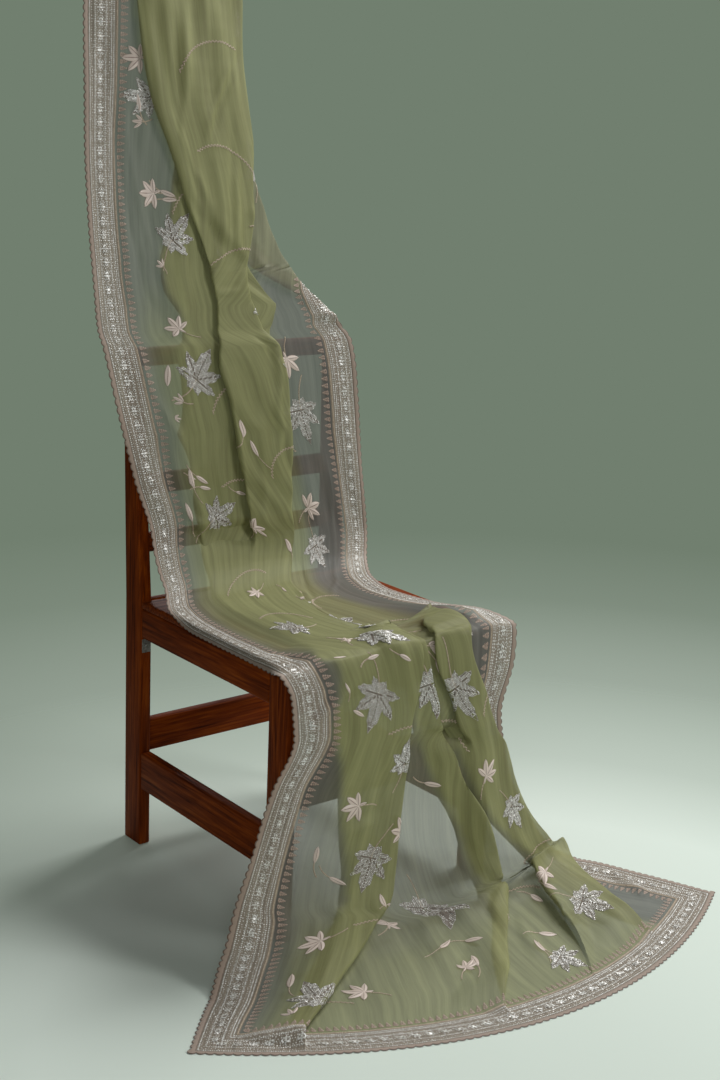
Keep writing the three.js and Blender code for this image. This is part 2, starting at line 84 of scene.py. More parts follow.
def meshPiece(name, points, faces, material, uvs=None, smooth=True):  # points in metres, uvs one per point
    mesh = bpy.data.meshes.new(name)
    mesh.from_pydata(np.asarray(points).tolist(), [], faces if isinstance(faces, list) else faces.tolist())
    mesh.materials.append(material)
    if uvs is not None:
        layer = mesh.uv_layers.new(name="cloth")
        loops = np.empty(len(mesh.loops), dtype=np.int32)
        mesh.loops.foreach_get("vertex_index", loops)
        layer.data.foreach_set("uv", np.asarray(uvs, dtype=np.float32)[loops].ravel())
    mesh.polygons.foreach_set("use_smooth", [smooth] * len(mesh.polygons))
    mesh.update()
    piece = bpy.data.objects.new(name, mesh)
    bpy.context.collection.objects.link(piece)
    return piece


def tableAt(table, place, column):  # smooth curve through a table's rows that never overshoots them
    xs = np.array([row[0] for row in table], dtype=float)
    ys = np.array([row[column] for row in table], dtype=float)
    steps, slopes = np.diff(xs), np.diff(ys) / np.diff(xs)
    tangents = np.zeros(len(xs))
    tangents[0], tangents[-1] = slopes[0], slopes[-1]
    for i in range(1, len(xs) - 1):
        if slopes[i - 1] * slopes[i] > 0:
            before = 2 * steps[i] + steps[i - 1]
            after = steps[i] + 2 * steps[i - 1]
            tangents[i] = (before + after) / (before / slopes[i - 1] + after / slopes[i])
    at = np.clip(place, xs[0], xs[-1])
    i = np.clip(np.searchsorted(xs, at, side="right") - 1, 0, len(xs) - 2)
    t, span = (at - xs[i]) / steps[i], steps[i]
    return ((1 + 2 * t) * (1 - t) ** 2 * ys[i] + t * (1 - t) ** 2 * span * tangents[i]
            + t * t * (3 - 2 * t) * ys[i + 1] + t * t * (t - 1) * span * tangents[i + 1])


def smooth(low, high, value):
    t = np.clip((value - low) / (high - low), 0, 1)
    return t * t * (3 - 2 * t)


camera = {  # metres, from the middle of the chair's foot print, before the part's origin is shifted
    "place": (-1.56805, -2.03968, 1.24585), "lens": 53.06, "sensor": 36,
    "turn": 39.315, "down": 14.609, "roll": 2.4895,
}
chairFront = -0.23765  # the seat board's front edge in that same frame
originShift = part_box("seat_board")[0][1] - chairFront


def makeCamera():
    data = bpy.data.cameras.new("camera")
    data.lens, data.sensor_width, data.sensor_fit = camera["lens"], camera["sensor"], "AUTO"
    data.clip_end = 60
    piece = bpy.data.objects.new("camera", data)
    bpy.context.collection.objects.link(piece)
    turn, down, roll = (math.radians(camera[k]) for k in ("turn", "down", "roll"))
    look = (Matrix.Rotation(-turn, 4, "Z") @ Matrix.Rotation(math.pi / 2 - down, 4, "X")
            @ Matrix.Rotation(roll, 4, "Z"))
    piece.matrix_world = Matrix.Translation(Vector(camera["place"]) + Vector((0, originShift, 0))) @ look
    bpy.context.scene.camera = piece
    print("camera placed")


clothSize = {
    "width": 1100, "border": 88, "edge": 5,  # the last 5 mm of each side is the scalloped trim
    "bodyColumns": 190, "borderColumns": 14, "rowStep": 5.6, "hemRowStep": 5.2, "length": 2330,
    "flatColumn": 6, "bendColumn": 24,  # a column is 6 mm of flat cloth or 24 degrees of a fold
    "workedTo": 64,  # the border's ground is closely stitched this far in, then plain organza
}
foldRules = {
    "fullTurnSpare": 20, "fullRadiusSpare": 16, "hiddenInset": 100, "traceStep": 3, "stackSlope": 0.25,
    "leastRun": 0.5, "arcSteps": 80, "floorClearance": 0.5,
}

clothRows = [
    # along, left x y z, middle x y z, right x y z, lift of the face, fold radius
    (0, -502, -410, 0, -5, -640, 0, 502, -514, 0, 90, 3),
    (150, -412, -320, 0, 0, -500, 0, 450, -388, 0, 90, 4),
    (270, -358, -276, 40, 5, -385, 0, 405, -296, 1, 88, 5),
    (350, -330, -266, 105, 10, -318, 18, 362, -268, 20, 62, 6),
    (430, -302, -262, 172, 16, -286, 78, 304, -264, 86, 18, 5),
    (560, -262, -261, 280, 20, -268, 212, 232, -262, 212, 2, 4),
    (660, -224, -261, 352, 24, -260, 312, 214, -256, 306, 0, 3),
    (740, -232, -259, 420, 30, -254, 396, 240, -254, 388, 4, 2.5),
    (790, -246, -245, 452, 34, -245, 454, 248, -243, 452, 45, 2.5),
    (850, -238, -190, 453, 40, -188, 455, 236, -176, 461, 88, 2.5),
    (950, -236, -95, 453, 40, -90, 455, 200, -92, 457, 90, 2.5),
    (1060, -236, 10, 454, 34, 20, 455, 184, 5, 457, 90, 2.5),
    (1140, -230, 78, 460, 30, 98, 458, 206, 84, 458, 80, 2.5),
    (1210, -206, 140, 490, 24, 158, 488, 242, 146, 470, 50, 3),
    (1280, -206, 176, 560, 16, 184, 555, 266, 180, 522, 15, 3),
    (1380, -232, 190, 660, 8, 192, 655, 260, 192, 625, 2, 3),
    (1500, -262, 201, 785, 0, 202, 775, 252, 202, 758, 2, 3),
    (1590, -279, 214, 882, -5, 215, 868, 240, 214, 866, 8, 3),
    (1625, -283, 223, 908, -10, 223, 896, 212, 224, 902, 12, 2.5),
    (1750, -280, 252, 1020, -45, 250, 1014, 114, 262, 1012, 10, 2.5),
    (1900, -270, 288, 1162, -70, 284, 1160, 70, 300, 1158, 10, 2.5),
    (2060, -250, 326, 1318, -60, 322, 1318, 68, 340, 1318, 10, 2.5),
    (2330, -214, 390, 1580, -40, 388, 1580, 96, 404, 1580, 10, 2.5),
]

# Pleats from the left edge to the right. turns 1: the front layer ends at a right-hand edge and the
# cloth runs back behind it; -1: the next layer comes out in front with its left edge showing.
# wraps: its hidden layer lies behind that pleat too, so its first fold goes round all of it.
# inset: along, how far from the left edge the hidden layer stops.
# Rows: along, the edge as a share of the width, this pleat's share of the spare cloth.
pleats = [
    {"name": "bunchLeft", "turns": -1, "rows": [
        (0, 0.06, 0), (60, 0.08, 0), (196, 0.12, 0), (296, 0.16, 0), (388, 0.25, 0), (600, 0.35, 0),
        (1200, 0.41, 0), (1300, 0.42, 0.05), (1420, 0.43, 0.18), (1500, 0.43, 0.26), (1556, 0.41, 0.27),
        (1640, 0.477, 0.30), (1680, 0.52, 0.31),
        (1744, 0.555, 0.33), (1800, 0.546, 0.34), (1932, 0.458, 0.34), (2012, 0.374, 0.34),
        (2172, 0.296, 0.34), (2330, 0.24, 0.34)]},
    {"name": "panelEdge", "turns": 1, "wraps": "bunchLeft", "inset": [
        (0, 100), (480, 100), (560, 68), (780, 68), (860, 100), (1300, 100), (1400, 120), (1500, 90),
        (1570, 80), (1600, 160), (1640, 170), (1700, 138), (1790, 130), (1900, 98), (2050, 74), (2330, 38)], "rows": [
        (60, 0.15, 0.40), (196, 0.212, 0.46), (296, 0.293, 0.46), (388, 0.40, 0.45), (476, 0.461, 0.45),
        (584, 0.50, 0.45), (716, 0.508, 0.46), (776, 0.53, 0.45), (840, 0.51, 0.44), (956, 0.50, 0.50),
        (1108, 0.60, 0.70), (1240, 0.62, 0.70), (1288, 0.60, 0.66), (1416, 0.64, 0.62), (1532, 0.66, 0.60),
        (1624, 0.64, 0.50), (1696, 0.683, 0.42), (1852, 0.90, 0.36), (1968, 0.965, 0.34), (2330, 0.965, 0.34)]},
    {"name": "middlePanel", "turns": 1, "rows": [
        (60, 0.45, 0.20), (200, 0.56, 0.22), (350, 0.74, 0.22), (448, 0.785, 0.20), (488, 0.79, 0.18),
        (600, 0.724, 0.17), (644, 0.681, 0.15), (700, 0.62, 0.13), (776, 0.56, 0.14), (830, 0.57, 0.12),
        (900, 0.62, 0), (1100, 0.68, 0), (1532, 0.72, 0), (1696, 0.78, 0), (1852, 0.94, 0), (2330, 0.975, 0)]},
    {"name": "rollLeft", "turns": -1, "rows": [
        (60, 0.62, 0.12), (200, 0.72, 0.13), (350, 0.84, 0.14), (430, 0.87, 0.14), (524, 0.842, 0.13),
        (620, 0.774, 0.13), (704, 0.69, 0.12), (768, 0.60, 0.10), (820, 0.64, 0.05), (880, 0.70, 0),
        (1060, 0.74, 0), (1532, 0.78, 0), (1696, 0.84, 0), (1852, 0.95, 0), (2330, 0.98, 0)]},
    {"name": "rollRight", "turns": 1, "wraps": "rollLeft", "rows": [
        (60, 0.80, 0.20), (216, 0.86, 0.24), (320, 0.95, 0.32), (412, 0.985, 0.36), (604, 0.98, 0.36),
        (650, 0.92, 0.30), (696, 0.848, 0.27), (740, 0.77, 0.24), (768, 0.73, 0.22), (830, 0.78, 0.12),
        (900, 0.80, 0), (1080, 0.82, 0), (1532, 0.84, 0), (1696, 0.88, 0), (1852, 0.96, 0), (2330, 0.985, 0)]},
]

# Cloth turned under at the right edge above the chair: along, width turned under.
turnUnder = [(0, 0), (1590, 0), (1680, 30), (1750, 95), (1900, 170), (2060, 200), (2330, 210)]

# Rounded swells that all the layers share: along, centre as a share of the width, half width, height.
swells = [
    [(200, 0.74, 45, 6), (300, 0.80, 45, 14), (430, 0.84, 45, 16), (560, 0.84, 45, 14), (700, 0.78, 40, 12),
     (790, 0.74, 40, 8), (850, 0.74, 40, 0)],  # the tube of cloth down the right of the fall
    [(700, 0.84, 30, 0), (760, 0.86, 30, 4), (800, 0.87, 34, 12), (850, 0.86, 38, 18), (920, 0.84, 36, 12),
     (1000, 0.84, 30, 0)],  # the hump where that tube starts on the seat
]

# The chair's left edge, over which the border drops.
seatDrop = {
    "edge": -220, "inward": 0.62, "down": 0.85, "rows": [(0, 0), (790, 0), (850, 1), (1080, 1), (1170, 0)],
}


def sectionAt(k, along, tables):  # one cross section: places across and points, in mm
    rules = foldRules
    corner = tables["rows"][:, k]
    left, middle, right = corner[0:3], corner[3:6], corner[6:9]
    lift, fold = math.radians(corner[9]), corner[10]
    ts = np.linspace(0, 1, rules["arcSteps"] + 1)

    def basePoint(t):
        t = np.asarray(t)[:, None]
        return left * (1 - t) * (1 - 2 * t) + 4 * middle * t * (1 - t) + right * t * (2 * t - 1)

    arc = np.concatenate([[0], np.cumsum(np.linalg.norm(np.diff(basePoint(ts), axis=0), axis=1))])
    width = arc[-1]
    under = tables["under"][k]
    spare = max(0, (clothSize["width"] - under - width) / 2)
    shares = sum(t["share"][k] for t in tables["pleats"]) or 1

    runs = []  # length, turning angle at both ends
    reached, folded = 0, {}
    least = rules["leastRun"]
    for pleat, t in zip(pleats, tables["pleats"]):
        edge = t["edge"][k] * width
        room = edge - t["inset"][k] if pleat["turns"] > 0 else width - rules["hiddenInset"] - edge
        back = max(min(t["share"][k] / shares * spare, room), 0)
        angle = math.pi * smooth(0, rules["fullTurnSpare"], back) * pleat["turns"]
        bend = max(fold * smooth(0, rules["fullRadiusSpare"], back) * abs(angle), least)
        around = bend
        if "wraps" in pleat:
            around *= 1 + 2 * folded[pleat["wraps"]]
        folded[pleat["name"]] = smooth(0, rules["fullTurnSpare"], back)
        end = edge if pleat["turns"] > 0 else edge + back
        flat = max(end - reached, 2 * least)
        runs += [(flat, 0, 0), (around, 0, angle), (max(back, least), angle, angle), (bend, angle, 0)]
        reached += flat + back * math.cos(angle)
    runs.append((max(width - reached, 2 * least), 0, 0))
    turned = math.pi * smooth(0, rules["fullRadiusSpare"], under)
    runs += [(max(fold * turned, least), 0, turned), (max(under, least), turned, turned)]

    steps, headings = [], []
    for length, start, end in runs:
        parts = max(4, math.ceil(length / rules["traceStep"]))
        steps.append(np.full(parts, length / parts))
        headings.append(start + (end - start) * (np.arange(parts) + 0.5) / parts)
    steps, headings = np.concatenate(steps), np.concatenate(headings)
    across = np.concatenate([[0], np.cumsum(steps)]) * clothSize["width"] / steps.sum()
    x = np.concatenate([[0], np.cumsum(steps * np.cos(headings))])
    depth = np.concatenate([[0], -np.cumsum(steps * np.sin(headings))])
    x *= width / x.max()
    lowest = np.min(depth[None, :] + rules["stackSlope"] * np.abs(x[:, None] - x[None, :]), axis=1)
    rise = depth - lowest  # layers settle on what is under them
    for swell, t in zip(swells, tables["swells"]):
        if swell[0][0] < along < swell[-1][0]:
            rise = rise + t[2][k] * np.exp(-(((x - t[0][k] * width) / t[1][k]) ** 2))

    # columns: the borders are even, the body has more where it turns
    turning = np.abs(np.diff(headings, prepend=headings[0]))
    weight = steps / clothSize["flatColumn"] + np.degrees(turning) / clothSize["bendColumn"]
    reachedWeight = np.concatenate([[0], np.cumsum(weight)])
    leftSeam, rightSeam = clothSize["border"], clothSize["width"] - clothSize["border"]
    span = np.interp([leftSeam, rightSeam], across, reachedWeight)
    body = np.interp(np.linspace(*span, clothSize["bodyColumns"] + 1), reachedWeight, across)
    edges = np.linspace(clothSize["edge"], leftSeam, clothSize["borderColumns"] + 1)[:-1]
    columns = np.concatenate([edges, body, clothSize["width"] - edges[::-1]])

    xs, rises = np.interp(columns, across, x), np.interp(columns, across, rise)
    t = np.interp(xs, arc, ts)
    tc = t[:, None]
    tangent = left * (4 * tc - 3) + 4 * middle * (1 - 2 * tc) + right * (4 * tc - 1)
    tangent /= np.linalg.norm(tangent, axis=1)[:, None]
    facing = np.array([0, -math.cos(lift), math.sin(lift)])
    normal = facing - (tangent @ facing)[:, None] * tangent
    normal /= np.linalg.norm(normal, axis=1)[:, None]
    points = basePoint(t) + normal * rises[:, None]
    past = np.maximum(0, seatDrop["edge"] - points[:, 0]) * tables["drop"][k]
    points[:, 0] += past * seatDrop["inward"]
    points[:, 2] -= past * seatDrop["down"]
    low, high = np.minimum(x[:-1], x[1:]), np.maximum(x[:-1], x[1:])
    layers = ((low <= xs[:, None]) & (xs[:, None] < high)).sum(axis=1)
    return columns, points, layers


# Creases and soft ridges, in mm on the cloth: height (below 0 a trough), half width, and the points
# that each runs through as (across, along).
creases = [
    (5, 9, [(75, 1340), (94, 1302), (131, 1277)]),
    (5, 9, [(619, 1271), (562, 1250), (512, 1228), (467, 1200), (415, 1167), (384, 1106), (366, 1062)]),
    (5, 9, [(842, 1072), (785, 1006), (762, 960), (751, 918), (737, 887)]),
    (5, 9, [(219, 847), (194, 800), (211, 780)]),
    (3, 6, [(66, 1585), (73, 1525), (92, 1468), (109, 1400), (111, 1328), (137, 1281)]),
    (-2.5, 6, [(81, 1312), (99, 1284), (127, 1260)]),
    (-2.5, 6, [(621, 1253), (577, 1229), (540, 1198), (492, 1165), (459, 1110), (433, 1042)]),
    (3, 6, [(391, 1558), (392, 1507), (369, 1451), (359, 1394), (336, 1356)]),
    (4, 7, [(390, 2163), (391, 2108), (394, 2054), (396, 2001), (385, 1948), (389, 1898), (409, 1851), (416, 1840)]),
    (3, 6, [(515, 2077), (478, 2013), (439, 1955)]),
    (-3, 6, [(545, 2105), (514, 2051), (481, 1998), (442, 1942), (435, 1906)]),
    (3, 7, [(434, 2167), (423, 2095), (415, 2028), (396, 1962)]),
    (-3, 6, [(410, 2140), (408, 2073), (400, 2006), (377, 1953)]),
    (3.5, 7, [(362, 2137), (360, 2078), (359, 2020), (356, 1963), (354, 1919)]),
    (3.5, 7, [(173, 1914), (212, 1854), (246, 1792), (270, 1734)]),
    (-3, 6, [(384, 1869), (417, 1805), (460, 1744)]),
    (3, 6, [(503, 1933), (484, 1879), (473, 1825), (476, 1771), (511, 1716), (516, 1709)]),
    (-2.5, 5, [(506, 1982), (484, 1923), (463, 1862), (458, 1800), (471, 1744)]),
    (5, 8, [(771, 788), (798, 787), (822, 789)]),
    (4, 7, [(722, 812), (811, 811), (852, 818)]),
    (4, 7, [(1017, 831), (1029, 827), (1053, 831)]),
    (-3, 6, [(714, 808), (799, 802), (843, 805)]),
    (2.5, 6, [(52, 868), (96, 827), (160, 804), (213, 777)]),
    (4, 7, [(131, 761), (86, 732), (46, 698), (13, 656)]),
    (-3, 6, [(115, 770), (67, 734), (22, 692)]),
    (4, 11, [(142, 667), (157, 613), (174, 559), (174, 506), (173, 453), (168, 392), (145, 317), (144, 302)]),
    (3, 8, [(92, 720), (85, 666), (102, 609), (125, 553), (137, 507)]),
    (3, 9, [(186, 719), (185, 655), (210, 587), (221, 523), (225, 459), (221, 407)]),
    (-3, 7, [(165, 657), (191, 596), (210, 537), (209, 481), (204, 426)]),
    (-2.5, 8, [(82, 454), (116, 495), (157, 527), (216, 544)]),
    (2.5, 8, [(96, 436), (126, 478), (164, 511), (219, 526)]),
    (4, 9, [(543, 698), (588, 642), (595, 588), (612, 531), (623, 472), (622, 405)]),
    (3, 12, [(774, 703), (771, 658), (771, 604), (787, 554), (798, 504), (815, 443), (811, 360)]),
    (6, 14, [(663, 437), (667, 397), (667, 369)]),
    (6, 14, [(620, 346), (608, 316), (609, 307)]),
    (6, 14, [(714, 315), (689, 249), (671, 190), (659, 138)]),
    (-4, 10, [(627, 409), (594, 353), (564, 298), (553, 237), (547, 184), (545, 165)]),
    (-4, 10, [(616, 174), (601, 134), (593, 113)]),
    (5, 14, [(493, 401), (477, 355), (447, 295), (451, 233), (460, 176), (465, 129)]),
    (-3, 10, [(538, 398), (540, 363), (498, 318), (494, 265), (497, 208), (501, 152), (503, 138)]),
    (5, 12, [(173, 372), (153, 311), (154, 254), (150, 197), (148, 136)]),
    (-3, 10, [(212, 373), (190, 314), (189, 258)]),
    (-3, 10, [(326, 275), (305, 212), (288, 162)]),
    (6, 11, [(1067, 256), (1070, 198), (1040, 136), (995, 95)]),
    (3, 10, [(840, 234), (850, 182), (851, 128), (872, 81)]),
    (-4, 5, [(529, 1607), (500, 1579), (499, 1558)]),
    (4, 6, [(559, 1616), (510, 1569), (497, 1525), (472, 1477), (449, 1426), (433, 1382)]),
    (3, 5, [(521, 1693), (496, 1691), (475, 1692)]),
    (-5, 4, [(225, 1772), (242, 1745), (247, 1731)]),
    (2.5, 5, [(1001, 1444), (1004, 1402), (1010, 1360), (1008, 1315), (1000, 1266), (1004, 1218), (993, 1139),
     (918, 1064)]),
    (3, 8, [(510, 1841), (508, 1826), (511, 1813)]),
    (3, 8, [(909, 1808), (920, 1750), (949, 1691)]),
    (2.5, 7, [(64, 2073), (74, 2014), (85, 1954), (100, 1895), (113, 1835), (128, 1777), (140, 1718), (155, 1659),
     (160, 1645)]),
    (-2, 6, [(44, 2057), (55, 1993), (68, 1929), (79, 1864), (88, 1798), (101, 1733), (107, 1681)]),
    (2.5, 7, [(83, 1458), (89, 1401), (91, 1344), (92, 1301)]),
    (-2.5, 6, [(156, 1472), (159, 1414), (163, 1355), (167, 1294)]),
    (2.5, 8, [(451, 1504), (423, 1456), (410, 1407), (380, 1358), (339, 1305), (298, 1251), (307, 1211)]),
    (2.5, 8, [(965, 1500), (959, 1445), (941, 1389), (929, 1332), (918, 1287)]),
    (-2.5, 7, [(884, 1238), (897, 1203), (905, 1161), (885, 1096), (831, 1038)]),
    (-2.5, 7, [(785, 1006), (762, 983), (742, 965)]),
    (3, 8, [(880, 1121), (862, 1083), (839, 1053)]),
    (3, 8, [(805, 1025), (760, 983), (719, 934), (695, 895)]),
]

# Gentle waves over the hanging cloth: along from and to, wave length across, height, slant.
waves = [
    (1640, 2330, 84, 1.6, 0.10), (1640, 2330, 37, 0.7, -0.06), (1250, 1590, 66, 1.3, 0.22),
    (250, 740, 72, 1.4, -0.16), (250, 740, 41, 0.8, 0.20), (0, 260, 120, 0.8, 0.35),
]


hiddenCreases = [  # the same, softer, on cloth that lies inside the pleats
    (2, 9, [(372, 420), (352, 505), (381, 590), (366, 688)]), (-2, 8, [(418, 540), (436, 610), (421, 700)]),
    (1.5, 8, [(742, 395), (731, 470), (722, 560)]), (2, 11, [(468, 860), (512, 940), (548, 1050), (560, 1150)]),
    (-2, 10, [(610, 905), (588, 1000), (622, 1120), (640, 1195)]),
    (-1.5, 8, [(700, 1020), (716, 1110), (742, 1210)]),
    (2, 8, [(548, 1300), (560, 1385), (575, 1470)]),
    (2, 10, [(760, 1345), (792, 1430), (771, 1530), (786, 1610)]),
    (-2, 8, [(842, 1380), (826, 1490), (848, 1560)]),
    (2, 12, [(715, 1650), (742, 1760), (729, 1880), (748, 1985)]),
    (-2, 9, [(812, 1690), (796, 1800), (823, 1930), (809, 2070)]),
    (1.5, 8, [(655, 1850), (672, 1960), (650, 2090)]),
    (-1.5, 8, [(905, 1990), (922, 2100), (910, 2240)]), (2, 10, [(215, 2010), (232, 2110), (221, 2220)]),
    (-2, 8, [(872, 2060), (858, 2170), (880, 2280)]),
]


waveFade = 60  # each run of waves comes and goes over this length


def reliefAt(across, along):
    relief = np.zeros_like(across)
    for start, end, length, height, slant in waves:
        fade = 1 - smooth(end - waveFade, end, along)
        if start:
            fade = fade * smooth(start, start + waveFade, along)
        phase = 2 * math.pi * (across + slant * along) / length
        drift = 1.7 * np.sin(along / 130 + length) + 0.9 * np.sin(across / 190 + length)
        relief += height * fade * np.sin(phase + drift)
    for height, halfWidth, line in creases + hiddenCreases:
        line = np.array(line, dtype=float)
        best = np.zeros_like(across)
        lengths = np.linalg.norm(np.diff(line, axis=0), axis=1)
        total, before = lengths.sum(), 0
        for (a0, v0), (a1, v1), length in zip(line[:-1], line[1:], lengths):
            t = np.clip(((across - a0) * (a1 - a0) + (along - v0) * (v1 - v0)) / length ** 2, 0, 1)
            off = np.hypot(across - a0 - t * (a1 - a0), along - v0 - t * (v1 - v0))
            place = (before + t * length) / total
            taper = np.sin(math.pi * np.clip(place, 0.02, 0.98)) ** 0.6
            best = np.maximum(best, taper * np.exp(-(off / halfWidth) ** 2))
            before += length
        relief += height * best
    return relief


# Painted light: the cloth is painted greener where it lies on itself, which stands in for light filtered through the
# stacked layers, and greyer where one layer lies alone.
# Along, and how green one layer alone is, listed for each stretch.
singleLayerGreen = [(0, 0.85), (250, 0.75), (420, 0.25), (740, 0.3), (800, 0.8), (1330, 0.9), (1580, 0.8),
                    (1720, 0.12), (2330, 0.1)]
greenAcross = {"from": (60, 120), "to": (900, 960)}  # and it is grey beside both long borders


def layCloth():  # the whole cloth as one grid: places across and along, points and facings, in mm
    hemRows = round(clothSize["border"] / clothSize["hemRowStep"])
    rest = round((clothSize["length"] - clothSize["border"]) / clothSize["rowStep"])
    alongs = np.concatenate([np.linspace(clothSize["edge"], clothSize["border"], hemRows + 1),
                             np.linspace(clothSize["border"], clothSize["length"], rest + 1)[1:]])
    tables = {
        "rows": np.array([tableAt(clothRows, alongs, k) for k in range(1, 12)]),
        "under": tableAt(turnUnder, alongs, 1),
        "pleats": [{"edge": tableAt(p["rows"], alongs, 1), "share": tableAt(p["rows"], alongs, 2),
                    "inset": tableAt(p.get("inset", [(0, foldRules["hiddenInset"]), (1, foldRules["hiddenInset"])]),
                                     alongs, 1)} for p in pleats],
        "swells": [[tableAt(swell, alongs, k) for k in (1, 2, 3)] for swell in swells],
        "drop": tableAt(seatDrop["rows"], alongs, 1),
    }
    sections = [sectionAt(k, along, tables) for k, along in enumerate(alongs)]
    across = np.array([section[0] for section in sections])
    points = np.array([section[1] for section in sections])
    # Painted light: the share of stacked layers that paints the cloth greener, standing in for light filtered through
    # them.
    stacked = np.clip((np.array([section[2] for section in sections]) - 1) / 2, 0, 1)
    for axis in (0, 0, 1):  # softens the edges of the folds
        stacked = (np.roll(stacked, 1, axis) + 2 * stacked + np.roll(stacked, -1, axis)) / 4
    along = np.repeat(alongs[:, None], across.shape[1], axis=1)
    single = (np.interp(along, *np.array(singleLayerGreen).T) * smooth(*greenAcross["from"], across)
              * (1 - smooth(*greenAcross["to"], across)))
    points = points + facingsOf(points) * reliefAt(across, along)[:, :, None]
    points[:, :, 2] = np.maximum(points[:, :, 2], foldRules["floorClearance"])
    points[:, :, 1] += originShift / mm
    return {"across": across, "alongs": alongs, "points": points, "facings": facingsOf(points), "hemRows": hemRows,
            "green": single + (1 - single) * stacked}


def facingsOf(points):
    acrossway = np.gradient(points, axis=1)
    alongway = np.gradient(points, axis=0)
    facings = np.cross(acrossway, alongway)
    return facings / np.maximum(np.linalg.norm(facings, axis=2), 1e-9)[:, :, None]


sheet = layCloth()
print("cloth laid", sheet["points"].shape)


def onCloth(places, lift):  # mm across and along, height above the cloth -> points in metres
    across, alongs, points, facings = (sheet[k] for k in ("across", "alongs", "points", "facings"))
    places = np.asarray(places, dtype=float)
    rowsCount, columnsCount = across.shape
    a, v = places[:, 0], places[:, 1]  # past an edge the cloth is carried on straight
    row = np.clip(np.searchsorted(alongs, v, side="right") - 1, 0, rowsCount - 2)
    t = (v - alongs[row]) / (alongs[row + 1] - alongs[row])
    spread = 10 * clothSize["width"]
    keys = (across + spread * np.arange(rowsCount)[:, None]).ravel()

    def inRow(r):
        index = np.searchsorted(keys, r * spread + a, side="right") - 1
        index = np.clip(index, r * columnsCount, (r + 1) * columnsCount - 2)
        s = ((r * spread + a - keys[index]) / (keys[index + 1] - keys[index]))[:, None]
        flatPoints, flatFacings = points.reshape(-1, 3), facings.reshape(-1, 3)
        return (flatPoints[index] * (1 - s) + flatPoints[index + 1] * s,
                flatFacings[index] * (1 - s) + flatFacings[index + 1] * s)

    (p0, f0), (p1, f1) = inRow(row), inRow(row + 1)
    t = t[:, None]
    facing = f0 * (1 - t) + f1 * t
    facing /= np.maximum(np.linalg.norm(facing, axis=1), 1e-9)[:, None]
    return (p0 * (1 - t) + p1 * t + facing * np.asarray(lift).reshape(-1, 1)) * mm


# The grey colours are painted where one layer lies alone, the green ones where layers stack, standing in for light
# filtered through them.
organzaLook = {
    "colour": "#9fa06d", "deep": "#818155", "greyer": "#7c7c74", "greyDeep": "#62625d",
    "alpha": 0.72, "roughness": 0.6, "streakMm": 15, "threadMm": 1.1,
    "sheen": 0.22, "sheenTint": "#e0e4b8",
}
borderLook = {
    "colour": "#a39889", "deep": "#7f7466", "greyer": "#a39889", "greyDeep": "#7f7466",
    "alpha": 0.92, "roughness": 0.55, "streakMm": 6, "threadMm": 1.1,
    "sheen": 0.2, "sheenTint": "#e8ddd0",
}


def organzaMaterial(name, look):  # woven silk organza: crisp, sheer, with fine streaks of sheen down its length
    material, shader = newMaterial(name)
    uv = addNode(material, "ShaderNodeUVMap", {"uv_map": "cloth"})
    streak = addNode(material, "ShaderNodeMapping", inputs={"Scale": (1000 / look["streakMm"], 2.6, 1)},
                     links={"Vector": (uv, "UV")})
    streaks = addNode(material, "ShaderNodeTexNoise", inputs={"Scale": 1, "Detail": 6, "Roughness": 0.68},
                      links={"Vector": (streak, "Vector")})
    green = colourRamp(material, streaks, "Fac", [(0.36, look["deep"]), (0.66, look["colour"])])
    grey = colourRamp(material, streaks, "Fac", [(0.36, look["greyDeep"]), (0.66, look["greyer"])])
    # Painted light: the grey and green colours are mixed by the painted share of stacked layers.
    share = addNode(material, "ShaderNodeAttribute", {"attribute_name": "green"})
    ramp = addNode(material, "ShaderNodeMix", {"data_type": "RGBA"},
                   links={"Factor": (share, "Fac"), "A": (grey, "Color"), "B": (green, "Color")})
    threadScale = 1000 / look["threadMm"]
    weave = addNode(material, "ShaderNodeMapping", inputs={"Scale": (threadScale, threadScale, 1)},
                    links={"Vector": (uv, "UV")})
    threads = addNode(material, "ShaderNodeTexNoise", inputs={"Scale": 1, "Detail": 1},
                      links={"Vector": (weave, "Vector")})
    ripple = addNode(material, "ShaderNodeBump", inputs={"Strength": 0.32, "Distance": 0.0018},
                     links={"Height": (streaks, "Fac")})
    bump = addNode(material, "ShaderNodeBump", inputs={"Strength": 0.05, "Distance": 0.0004},
                   links={"Height": (threads, "Fac"), "Normal": (ripple, "Normal")})
    links = material.node_tree.links
    links.new(ramp.outputs["Result"], shader.inputs["Base Color"])
    links.new(bump.outputs["Normal"], shader.inputs["Normal"])
    shader.inputs["Alpha"].default_value = look["alpha"]
    shader.inputs["Roughness"].default_value = look["roughness"]
    shader.inputs["Specular IOR Level"].default_value = 0.3
    shader.inputs["Sheen Weight"].default_value = look["sheen"]
    shader.inputs["Sheen Roughness"].default_value = 0.35
    shader.inputs["Sheen Tint"].default_value = hexColour(look["sheenTint"])
    return material


def sheetPiece(name, rows, columns, material):
    points = sheet["points"][rows, columns]
    across, along = sheet["across"][rows, columns], np.repeat(sheet["alongs"][rows][:, None], points.shape[1], axis=1)
    rowsCount, columnsCount = across.shape
    corner = np.arange((rowsCount - 1) * columnsCount).reshape(rowsCount - 1, columnsCount)[:, :-1].ravel()
    faces = np.stack([corner, corner + 1, corner + 1 + columnsCount, corner + columnsCount], axis=1)
    uvs = np.stack([across.ravel(), along.ravel()], axis=1) * mm
    piece = meshPiece(name, points.reshape(-1, 3) * mm, faces, material, uvs)
    # the painted green share, standing in for light through stacked layers, goes on as a colour attribute
    green = np.repeat(sheet["green"][rows, columns].reshape(-1, 1), 4, axis=1).astype(np.float32)
    piece.data.color_attributes.new("green", "FLOAT_COLOR", "POINT").data.foreach_set("color", green.ravel())
    return piece


